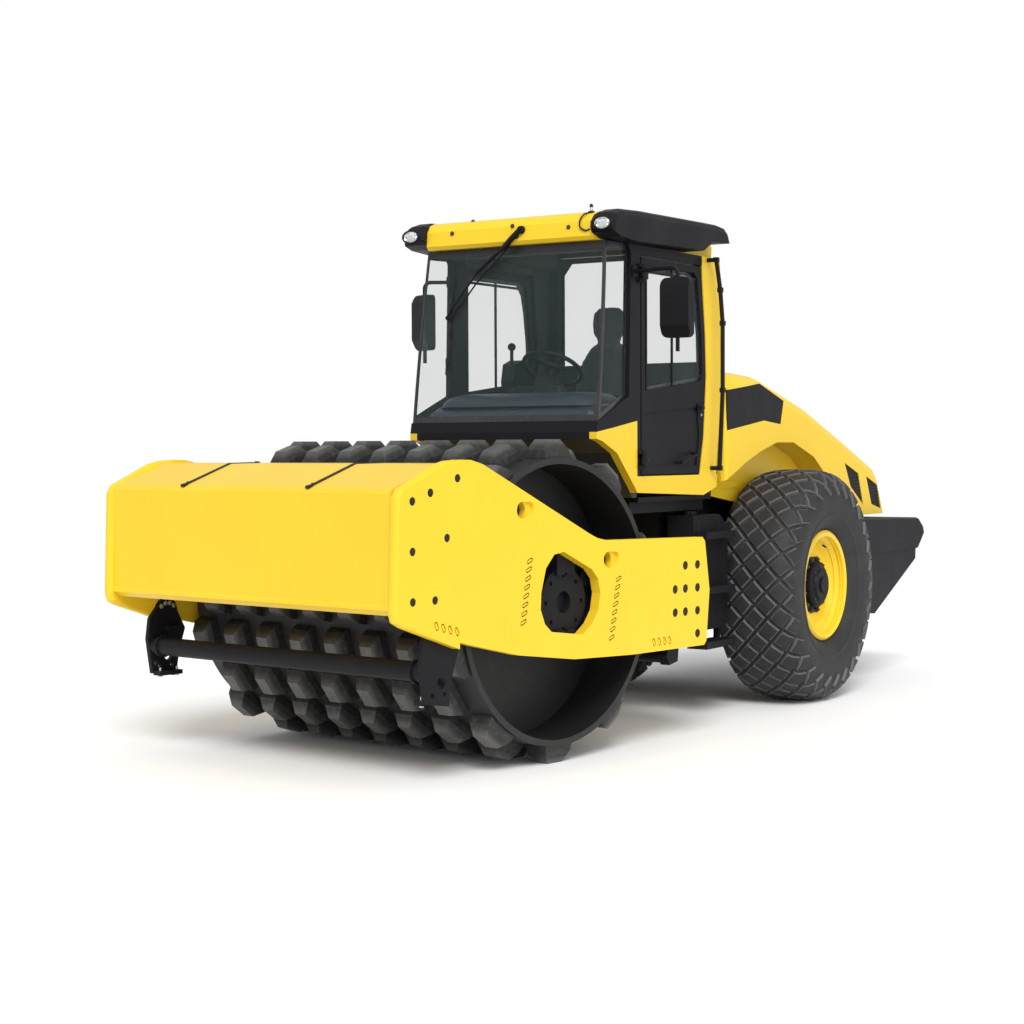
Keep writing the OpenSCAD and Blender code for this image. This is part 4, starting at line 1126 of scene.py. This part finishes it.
@dataclass(frozen=True)
class CabTrim:
    """Linings, panes, glass borders, wiper, lamps and fittings of the cab."""

    cab_y: float = 660.0
    cab_in: float = 610.0
    roof_z: float = 3120.0
    screen_foot: Flat = (1016.0, 1890.0)
    screen_head: Flat = (877.0, 2949.0)
    screen_gap: float = 4.0
    screen_taper: float = 28.0
    screen_bow: float = 12.0

    def screen_x(self, z: float) -> float:
        """Place of the windscreen's outer face at a height."""
        (x0, z0), (x1, z1) = self.screen_foot, self.screen_head
        return x0 + (z - z0) * (x1 - x0) / (z1 - z0)

    def lining(self) -> None:
        """Dark trim on the inside of the roof, the back wall and the pillars."""
        piece = Piece("cab_lining", Site.REAR, Finish.TRIM)
        y, top = self.cab_in - 3, self.roof_z - 53
        pillar = [(-294, 1565), (-352, 1800), (-390, 2186), (-378, 2450), (-327, 2890),
                  (-327, 2936), (-541, 2936), (-541, 1803), (-536, 1565)]
        piece.box((-547, 70 - y, top - 8), (796, y - 70, top), 3)
        piece.box((788, 70 - y, 2946), (796, y - 70, top), 2)
        piece.box((600, -y, 2915), (815, y, 2934), 6)
        for y0, z0, y1, z1 in ((-y, 1803, y, 2048), (-y, 2048, -531, 2946),
                               (531, 2048, y, 2946), (-531, 2048, 531, 2290)):
            piece.box((-549, y0, z0), (-541, y1, z1), 2)
        for _, s in SIDES:
            piece.box((-547, s * (y - 76), 2946), (796, s * (y - 68), top), 2)
            piece.box((-547, s * (y - 72), 2938), (800, s * y, 2948), 2)
            piece.box((-326, s * (y - 8), 2889), (500, s * y, 2946), 2)
            piece.plate(pillar, s * (y - 5), s * (self.cab_in - 0.4), round_by=1.5)
        piece.done("rear_frame")

    def borders(self) -> None:
        """Black printed borders of the flat panes, set just inside the glass."""
        outer = [(440, 2075), (440, 2790), (410, 2835), (-215, 2838), (-262, 2800),
                 (-318, 2450), (-330, 2200), (-305, 2155)]
        inner = [(424, 2096), (424, 2770), (392, 2808), (-160, 2812), (-215, 2750),
                 (-296, 2450), (-308, 2210), (-290, 2178)]
        for name, body, s in (("door_border", "door", 1), ("right_border", "rear_frame", -1)):
            piece = Piece(name, Site.REAR, Finish.FRIT)
            for i, corner in enumerate(outer):
                band = [outer[i - 1], corner, inner[i], inner[i - 1]]
                piece.plate(band, s * (self.cab_y - 29), s * (self.cab_y - 26.3))
            piece.done(body)
        piece = Piece("rear_border", Site.REAR, Finish.FRIT)
        x0, x1 = -571.5, -569
        for y0, z0, y1, z1 in ((-528, 2052, 528, 2078), (-528, 2978, 528, 3016),
                               (-528, 2052, -500, 3016), (500, 2052, 528, 3016)):
            piece.box((x0, y0, z0), (x1, y1, z1))
        for _, s in SIDES:
            piece.plate([(s * 501, 3010), (s * 501, 2900), (s * 440, 2979)], x0, x1, "yz")
        piece.done("rear_frame")

    def half_width(self, z: float) -> float:
        """Half width of the bowed windscreen at a height."""
        rise = (z - self.screen_foot[1]) / (self.screen_head[1] - self.screen_foot[1])
        return self.cab_y - self.screen_gap - self.screen_taper * rise**2

    def screen_place(self, u: float, v: float) -> Point:
        """Point on the windscreen, u from -1 to 1 across it and v from 0 to 1 up it."""
        z = self.screen_foot[1] + 0.5 + v * (self.screen_head[1] - self.screen_foot[1] - 1)
        x = self.screen_x(z) - 8 + self.screen_bow * (1 - u * u)
        return (x, u * self.half_width(z), z)

    def side_place(self, u: float, v: float) -> Point:
        """Point on the left side pane, u from 0 to 1 back from the corner and v up it."""
        foot = self.screen_foot[1] + 1 + 151.5 * u
        z = foot + (self.screen_head[1] - foot - 0.5) * v
        rear = 644 - (z - 2000) * 0.0314 if z < 2891 else 616 + (z - 2891) * 0.6
        front = self.screen_x(z) - 12
        wide = self.half_width(z) - 2
        bow = 5 * math.sin(math.pi * u)
        return (front + (rear - front) * u, wide + (self.cab_y - 26 - wide) * u + bow, z)

    def pane(
        self,
        name: str,
        node: str,
        place: Callable[[float, float], Point],
        cuts: tuple[list[float], list[float]],
        flip: int = 1,
    ) -> None:
        """Curved pane with its printed border.

        Args:
            name: The piece's name.
            node: The flat pane that it stands for.
            place: Point for a place across and up the pane.
            cuts: Lines across and up, with the border between each first and last pair.
            flip: -1 on the machine's right side.
        """
        across, up = cuts
        shape = bmesh.new()
        rows = []
        for v in up:
            points = [place(u, v) for u in across]
            rows.append([shape.verts.new((x, y * flip, z)) for x, y, z in points])
        last = (len(across) - 2, len(up) - 2)
        for j, (low, high) in enumerate(zip(rows, rows[1:])):
            for i in range(len(across) - 1):
                face = shape.faces.new((low[i], low[i + 1], high[i + 1], high[i]))
                face.material_index = int(i in (0, last[0]) or j in (0, last[1]))
        bmesh.ops.recalc_face_normals(shape, faces=shape.faces)
        bmesh.ops.solidify(shape, geom=shape.faces[:], thickness=6)
        piece = Piece(name, Site.REAR, Finish.GLASS).use(Finish.FRIT)
        piece.take(shape, keep=True)
        piece.done("rear_frame", 30, [node])

    def panes(self) -> None:
        """Bowed windscreen and the two side panes that meet its edges."""
        up = [0, 0.035, *(k / 10 for k in range(1, 10)), 0.955, 1]
        across = [-1, -0.975, *(k / 8 for k in range(-7, 8)), 0.975, 1]
        self.pane("windscreen_pane", "windscreen", self.screen_place, (across, up))
        back = [0, 0.06, *(k / 6 for k in range(1, 6)), 0.93, 1]
        for side, s in SIDES:
            node = f"side_glass_{side}"
            self.pane(f"side_pane_{side}", node, self.side_place, (back, up), s)

    def wiper(self) -> None:
        """Wiper: motor cover on the roof's front, twin arms and a blade on the glass."""
        piece = Piece("wiper", Site.REAR, Finish.PLASTIC)
        pivot, elbow = (956, 96, 3034), (948, -28, 2932)
        knee = (self.screen_x(2800) + 34, -225, 2800)
        joint = (self.screen_x(2544) + 24, -428, 2544)
        piece.rod((936, 96, 3034), (962, 96, 3034), 26, 22, 24, 4)
        piece.rod((936, 60, 3000), (956, 60, 3000), 18, 15, 20, 3)
        piece.tube(curve_points([pivot, (958, 40, 2988), elbow], 4), 17, 12)
        piece.tube(curve_points([elbow, (942, -100, 2888), knee], 4), 11, 12)
        piece.tube([knee, ((knee[0] + joint[0]) / 2 + 5, -330, 2668), joint], 7, 10)
        twin = [(950, 62, 3000), (938, -30, 2908), (knee[0] - 4, -240, 2730),
                (joint[0] - 2, -420, 2505)]
        piece.tube(twin, 5, 10)
        piece.rod((joint[0] - 16, -428, 2530), (joint[0] + 10, -428, 2530), 16, 14, 20, 3)
        heights = (2804, 2640, 2490, 2330, 2180)
        blade = [(self.screen_x(z) + 13, -412 - 0.012 * (2800 - z), z) for z in heights]
        piece.use(Finish.SEAL).tube(blade, 6, 8)
        for z in (2740, 2600, 2440, 2260):
            x = self.screen_x(z)
            piece.box((x + 2, -425, z - 24), (x + 22, -405, z + 24), 3)
        high, low = self.screen_x(2800), self.screen_x(2184)
        lip = [(high + 2, 2800), (high + 9, 2800), (low + 9, 2184), (low + 2, 2184)]
        piece.plate(lip, -418, -415)
        piece.done("rear_frame")

    def lamps(self) -> None:
        """Work lamps in the visor noses: bezel, reflector, bulb and lens."""
        bezel = [(33, 0), (41, 0), (43, 5), (40, 9), (34, 8)]
        reflector = [(0, -12), (14, -11), (26, -6), (33.5, 3)]
        lens = [(0, 14), (14, 12.5), (26, 9), (34.5, 4)]
        shaped = Matrix.Diagonal((1.0, 1.55, 1.0, 1.0)) @ Matrix.Rotation(math.pi / 2, 4, "Y")
        for side, s in SIDES:
            piece = Piece(f"lamp_{side}", Site.REAR, Finish.PLASTIC)
            place = Matrix.Translation((986, s * 676, 3035)) @ shaped
            piece.lathe(bezel, place, 40, closed=True)
            piece.use(Finish.MIRROR).lathe(reflector, place, 40)
            piece.use(Finish.LENS).lathe(lens, place, 40)
            piece.use(Finish.CHROME).rod((975, s * 676, 3035), (992, s * 676, 3035), 7, 5, 14, 1)
            piece.done("rear_frame")

    def roof(self) -> None:
        """Aerial with its lead, and the roof's seam bolts."""
        piece = Piece("roof_fittings", Site.REAR, Finish.CHROME)
        x, y = 876.0, 540.0
        piece.rod((x, y, 3120), (x, y, 3146), 9, 9, 16, 1)
        piece.use(Finish.PLASTIC).rod((x, y, 3108), (x, y, 3122), 24, 18, 24, 3)
        piece.rod((x, y, 3144), (x, y, 3164), 12, 8, 16, 3)
        lead = [(x + 8, y - 6, 3112), (930, 520, 3098), (944, 500, 3060), (948, 506, 3022),
                (946, 540, 3002), (940, 566, 3010)]
        piece.use(Finish.SEAL).tube(curve_points(lead, 5), 5, 10)
        piece.use(Finish.BOLT).bolt((862, -300, 3119), (0, 0, 1), 11)
        for place in ((938, -404, 3044), (936, 30, 3062), (938, 420, 3030)):
            piece.bolt(place, (1, 0, 0), 11)
        piece.done("rear_frame")

    def mirrors(self) -> None:
        """Silvered glass in each mirror's sunk face."""
        for side, y, z, turn in (("left", 998, 2550, 0.0), ("right", -800, 2530, -28.0)):
            piece = Piece(f"mirror_glass_{side}", Site.REAR, Finish.MIRROR)
            shape = bmesh.new()
            bmesh.ops.create_cube(shape, size=1.0)
            bmesh.ops.scale(shape, vec=(4, 156, 318), verts=shape.verts)
            corners = [e for e in shape.edges if abs(e.verts[0].co.x - e.verts[1].co.x) > 1]
            soften(shape, corners, 20, 5)
            place = (
                Matrix.Translation((666, y, z))
                @ Matrix.Rotation(math.radians(turn), 4, "Z")
                @ Matrix.Translation((-24.2, 0, 0))
            )
            piece.take(shape, place)
            piece.done("rear_frame")

    def dash(self) -> None:
        """Soft cover over the cowl, with a screen and switches facing the seat."""
        piece = Piece("dash_cover", Site.REAR, Finish.SLATE)
        cover = [(1985, 474, 918, 556), (2010, 480, 905, 552), (2038, 492, 872, 534),
                 (2058, 512, 826, 500), (2068, 540, 780, 452)]
        piece.loft(cover, 110)
        binnacle = [(2060, 560, 640, 190), (2090, 556, 636, 186), (2118, 560, 622, 168)]
        piece.use(Finish.PLASTIC).loft(binnacle, 30)
        piece.box((470, -300, 2000), (484, -120, 2110), 8)
        piece.use(Finish.FRIT).box((466, -288, 2012), (471, -132, 2098), 2)
        piece.use(Finish.SEAL)
        for y in range(130, 334, 34):
            piece.box((470, y, 2006), (478, y + 26, 2030), 3)
        piece.done("rear_frame")

    def fittings(self) -> None:
        """Door latch, hinge screws, cab mounts and the grip strips on the sill."""
        y = self.cab_y
        piece = Piece("door_latch", Site.REAR, Finish.PLASTIC)
        piece.box((-330, y - 2, 1960), (-250, y + 12, 2010), 4)
        piece.box((-318, y + 10, 1972), (-262, y + 26, 1996), 6)
        piece.use(Finish.ZINC).rod((-290, y + 10, 1940), (-290, y + 15, 1940), 9, sides=16)
        piece.use(Finish.BOLT)
        for x, z in ((445, 1660), (470, 1660), (445, 2780), (470, 2780)):
            piece.bolt((x, y + 22, z), (0, 1, 0), 6)
        piece.done("door")
        mount = [(0, 1331), (64, 1331), (70, 1318), (64, 1306), (70, 1294), (60, 1284), (0, 1284)]
        piece = Piece("cab_mounts", Site.REAR, Finish.SEAL)
        for place in ((-380, -420, 0), (-380, 420, 0), (300, -420, 0), (300, 420, 0)):
            piece.lathe(mount, Matrix.Translation(place), 28)
        piece.done("rear_frame")
        piece = Piece("sill_grip", Site.REAR, Finish.SEAL)
        for x in range(-260, 440, 40):
            piece.box((x, y - 46, 1562), (x + 26, y - 6, 1567), 1.5)
        piece.done("rear_frame")

    def build(self) -> None:
        """Builds the cab's trim."""
        self.lining()
        self.borders()
        self.panes()
        self.wiper()
        self.lamps()
        self.roof()
        self.mirrors()
        self.dash()
        self.fittings()


@dataclass(frozen=True)
class Seat:
    """Padded seat cushion and back in place of their plain solids."""

    corner: float = 46.0
    voxel: float = 0.009
    frames: int = 15
    pressure: float = 4.0
    cap: float = 0.014
    seam_reach: float = 0.016
    seam_depth: float = 0.009

    def swell(self, piece: bpy.types.Object) -> None:
        """Fills a pad by a short cloth simulation and applies the result.

        Args:
            piece: The pad's object.
        """
        rest = [v.co.copy() for v in piece.data.vertices]
        cloth = piece.modifiers.new("fill", "CLOTH")
        settings = cloth.settings
        settings.use_pressure = True
        settings.uniform_pressure_force = self.pressure
        settings.effector_weights.gravity = 0
        settings.mass = 0.35
        settings.tension_stiffness = 12
        settings.bending_stiffness = 0.6
        scene = bpy.context.scene
        for step in range(self.frames):
            scene.frame_set(step + 1)
        shown = piece.evaluated_get(bpy.context.evaluated_depsgraph_get())
        moved = [v.co.copy() for v in shown.data.vertices]
        piece.modifiers.remove(cloth)
        for vert, start, end in zip(piece.data.vertices, rest, moved):
            shift = end - start
            if shift.length > self.cap:
                shift *= self.cap / shift.length
            vert.co = start + shift
        scene.frame_set(1)

    def pad(self, name: str, lofts: list[list[Level]], seams: Flat, node: str) -> None:
        """One upholstered pad with sewn channels along it.

        Args:
            name: The piece's name.
            lofts: Level sections of each of its parts.
            seams: Places, to either side of the middle, of the sewn channels.
            node: The solid that it stands for.
        """
        piece = Piece(name, Site.REAR, Finish.CLOTH)
        for levels in lofts:
            piece.loft(levels, self.corner)
        made = piece.done("rear_frame", 60, [node])
        remesh = made.modifiers.new("even", "REMESH")
        remesh.mode = "VOXEL"
        remesh.voxel_size = self.voxel
        shown = made.evaluated_get(bpy.context.evaluated_depsgraph_get())
        even = bpy.data.meshes.new_from_object(shown)
        made.modifiers.clear()
        old = made.data
        made.data = even
        made.data.name = name
        bpy.data.meshes.remove(old)
        if not made.data.materials:
            made.data.materials.append(Finish.CLOTH.material())
        self.swell(made)
        shape = bmesh.new()
        shape.from_mesh(made.data)
        for vert in shape.verts:
            for seam in seams:
                gap = abs(abs(vert.co.y - PIVOT.y) - seam)
                if gap < self.seam_reach:
                    vert.co -= vert.normal * self.seam_depth * (1 - gap / self.seam_reach) ** 2
        for _ in range(2):
            bmesh.ops.smooth_vert(shape, verts=shape.verts, factor=0.4, use_axis_x=True,
                                  use_axis_y=True, use_axis_z=True)
        shape.to_mesh(made.data)
        shape.free()
        made.data.shade_smooth()

    def build(self) -> None:
        """Builds the seat's soft parts."""
        cushion = [(1753, -214, 226, 222), (1775, -226, 246, 242), (1815, -232, 256, 246),
                   (1845, -226, 246, 240), (1862, -206, 214, 220)]
        back = [(1866, -268, -160, 214), (1900, -276, -160, 228), (2060, -300, -184, 232),
                (2200, -320, -206, 224), (2310, -336, -226, 190), (2385, -346, -242, 140),
                (2418, -340, -262, 108)]
        head = [(2400, -332, -268, 84), (2440, -338, -256, 92), (2490, -350, -240, 108),
                (2560, -352, -240, 114), (2625, -346, -244, 106), (2660, -332, -262, 80)]
        self.pad("seat_cushion_pad", [cushion], (0.085, 0.17), "seat_cushion")
        self.pad("seat_back_pad", [back, head], (0.08, 0.16), "seat_back")


@dataclass(frozen=True)
class RearTrim:
    """Step treads, tank fittings, hood handle and tail lamps."""

    tank_out: float = 660.0
    back: float = -695.0
    front: float = -200.0

    def steps(self) -> None:
        """Tread plate and raised grip studs on each ladder step; the plate's paler bluish slate
        is a painted highlight on the step tops.
        """
        for side, s in SIDES:
            piece = Piece(f"step_grip_{side}", Site.REAR, Finish.BLACK)
            y0, y1 = s * (self.tank_out + 23), s * (self.tank_out + 63)
            for z in (450, 800, 1150):
                plate = ((self.back + 73, y0, z + 10), (self.front - 53, y1, z + 13.5))
                # Paler bluish slate on the step tops: a painted highlight on the treads.
                piece.use(Finish.SLATE).box(*plate, 1)
                piece.use(Finish.BLACK)
                for x in range(int(self.back) + 96, int(self.front) - 70, 34):
                    for y in (s * (self.tank_out + 34), s * (self.tank_out + 54)):
                        piece.rod((x, y, z + 11), (x, y, z + 17), 7, 5, 10)
            piece.done("rear_frame")

    def tanks(self) -> None:
        """Filler cap, drain plug and seam bands on the side tanks."""
        for side, s in SIDES:
            piece = Piece(f"tank_fittings_{side}", Site.REAR, Finish.PLASTIC)
            x0, y0 = -330, s * 560
            piece.rod((x0, y0, 1299), (x0, y0, 1326), 52, 46, 32, 5)
            for x, y in circle_points(8, 50):
                piece.rod((x0 + x, y0 + y, 1304), (x0 + x, y0 + y, 1320), 6, 5, 10, 1)
            piece.use(Finish.BLACK)
            for x in (-600, -300):
                piece.box((x, s * 658, 620), (x + 40, s * 662, 1260), 1)
            piece.use(Finish.BOLT).bolt((-450, s * 568, 559.5), (0, 0, -1), 18)
            piece.done("rear_frame")

    def handle(self) -> None:
        """Handle at the foot of the hood's back."""
        piece = Piece("hood_handle", Site.REAR, Finish.PLASTIC)
        grip = [(-3462, -90, 1262), (-3484, -84, 1268), (-3488, 0, 1270), (-3484, 84, 1268),
                (-3462, 90, 1262)]
        piece.tube(curve_points(grip, 4), 9, 10)
        piece.done("hood")

    def lamps(self) -> None:
        """Tail lamps in the counterweight, each with its red and its amber half."""
        piece = Piece("tail_lamps", Site.REAR, Finish.PLASTIC)
        for y in (-720, 720):
            piece.use(Finish.PLASTIC).box((-3796, y - 88, 1022), (-3740, y + 88, 1096), 6)
            piece.use(Finish.RED).box((-3802, y - 78, 1030), (-3790, y + 4, 1088), 5)
            piece.use(Finish.AMBER).box((-3802, y + 10, 1030), (-3790, y + 78, 1088), 5)
        piece.done("rear_frame")

    def build(self) -> None:
        """Builds the rear frame's trim."""
        self.steps()
        self.tanks()
        self.handle()
        self.lamps()


@dataclass(frozen=True)
class Camera:
    """The photograph's viewpoint."""

    place: Point = (11.1235, 6.4701, 1.7207)
    yaw: float = -147.7755
    pitch: float = -1.8294
    roll: float = -0.2491
    focal_px: float = 1933.39
    frame_px: float = 1024.0
    sensor_mm: float = 36.0

    def build(self) -> None:
        """Adds the camera and makes it the scene's own."""
        yaw, pitch, roll = (math.radians(a) for a in (self.yaw, self.pitch, self.roll))
        level = math.cos(pitch)
        ahead = Vector((level * math.cos(yaw), level * math.sin(yaw), math.sin(pitch)))
        right = ahead.cross(Vector((0, 0, 1))).normalized()
        up = right.cross(ahead)
        tilted = right * math.cos(roll) + up * math.sin(roll)
        raised = up * math.cos(roll) - right * math.sin(roll)
        data = bpy.data.cameras.new("photo_view")
        data.sensor_width = self.sensor_mm
        data.lens = self.focal_px / self.frame_px * self.sensor_mm
        data.clip_end = 200
        camera = bpy.data.objects.new("photo_view", data)
        turn = Matrix((tilted, raised, -ahead)).transposed().to_4x4()
        camera.matrix_world = Matrix.Translation(self.place) @ turn
        bpy.context.scene.collection.objects.link(camera)
        bpy.context.scene.camera = camera


@dataclass(frozen=True)
class Studio:
    """Pale floor, white background and soft lamps."""

    floor_size: float = 60.0
    fade: Flat = (6.0, 13.0)
    key: float = 2.0
    fill: float = 0.75
    sky: float = 0.66

    def world(self) -> None:
        """Soft even sky that the camera and what shines through glass see as white."""
        world = bpy.data.worlds.new("sky")
        bpy.context.scene.world = world
        world.use_nodes = True
        tree = world.node_tree
        tree.nodes.clear()
        path, seen, strength, light, out = (
            tree.nodes.new("ShaderNode" + kind)
            for kind in ("LightPath", "Math", "MapRange", "Background", "OutputWorld")
        )
        seen.operation = "MAXIMUM"
        strength.inputs["To Min"].default_value = self.sky
        strength.inputs["To Max"].default_value = 1.0
        light.inputs[0].default_value = (1, 1, 1, 1)
        for source, target in (
            (path.outputs["Is Camera Ray"], seen.inputs[0]),
            (path.outputs["Is Transmission Ray"], seen.inputs[1]),
            (seen.outputs[0], strength.inputs["Value"]),
            (strength.outputs[0], light.inputs[1]),
            (light.outputs[0], out.inputs[0]),
        ):
            tree.links.new(source, target)

    def lamp(self, name: str, strength: float, spread: float, toward: Point) -> None:
        """Adds one soft far lamp.

        Args:
            name: The lamp's name.
            strength: Its strength.
            spread: Its angular size in degrees.
            toward: The direction that its light travels in.
        """
        data = bpy.data.lights.new(name, "SUN")
        data.energy = strength
        data.angle = math.radians(spread)
        lamp = bpy.data.objects.new(name, data)
        lamp.rotation_euler = Vector(toward).to_track_quat("-Z", "Y").to_euler()
        bpy.context.scene.collection.objects.link(lamp)

    def floor(self) -> None:
        """White floor that fades into the background far from the machine."""
        shape = bmesh.new()
        bmesh.ops.create_grid(shape, x_segments=8, y_segments=8, size=self.floor_size / 2)
        data = bpy.data.meshes.new("studio_floor")
        shape.to_mesh(data)
        shape.free()
        book = NodeBook("studio_floor")
        away = book.term("ShaderNodeVectorMath", {0: book.place}, "Value", operation="LENGTH")
        tone = book.mix(book.noise(0.6) * 0.1, (0.99, 0.99, 0.99), (0.97, 0.97, 0.97))
        pale = book.term("ShaderNodeBsdfDiffuse", {"Color": tone})
        clear = book.term("ShaderNodeBsdfTransparent", {})
        shader = book.add("ShaderNodeMixShader", {0: away.above(*self.fade), 1: pale, 2: clear})
        data.materials.append(book.end(shader))
        floor = bpy.data.objects.new("studio_floor", data)
        bpy.context.scene.collection.objects.link(floor)

    def build(self) -> None:
        """Builds the studio."""
        self.world()
        self.lamp("key_lamp", self.key, 24, (-0.62, -0.38, -0.68))
        self.lamp("fill_lamp", self.fill, 70, (-0.30, -0.90, -0.32))
        self.floor()
        bpy.context.scene.view_settings.view_transform = "Standard"


def dress_nodes() -> None:
    """Gives every carried-over node its finish."""
    for finish, names in NODE_FINISH.items():
        for name in names.split():
            materials = frame["nodes"][name].data.materials
            materials.clear()
            materials.append(finish.material())
    LOG.info("%d nodes dressed", len(frame["nodes"]))


def main() -> None:
    """Builds the pieces in order."""
    logging.basicConfig(level=logging.INFO, format="%(name)s: %(message)s")
    Camera().build()
    Studio().build()
    dress_nodes()
    for group in (Tyre(), WheelTrim(), FrontTrim(), CabTrim(), Seat(), RearTrim()):
        group.build()


if __name__ == "__main__":
    main()
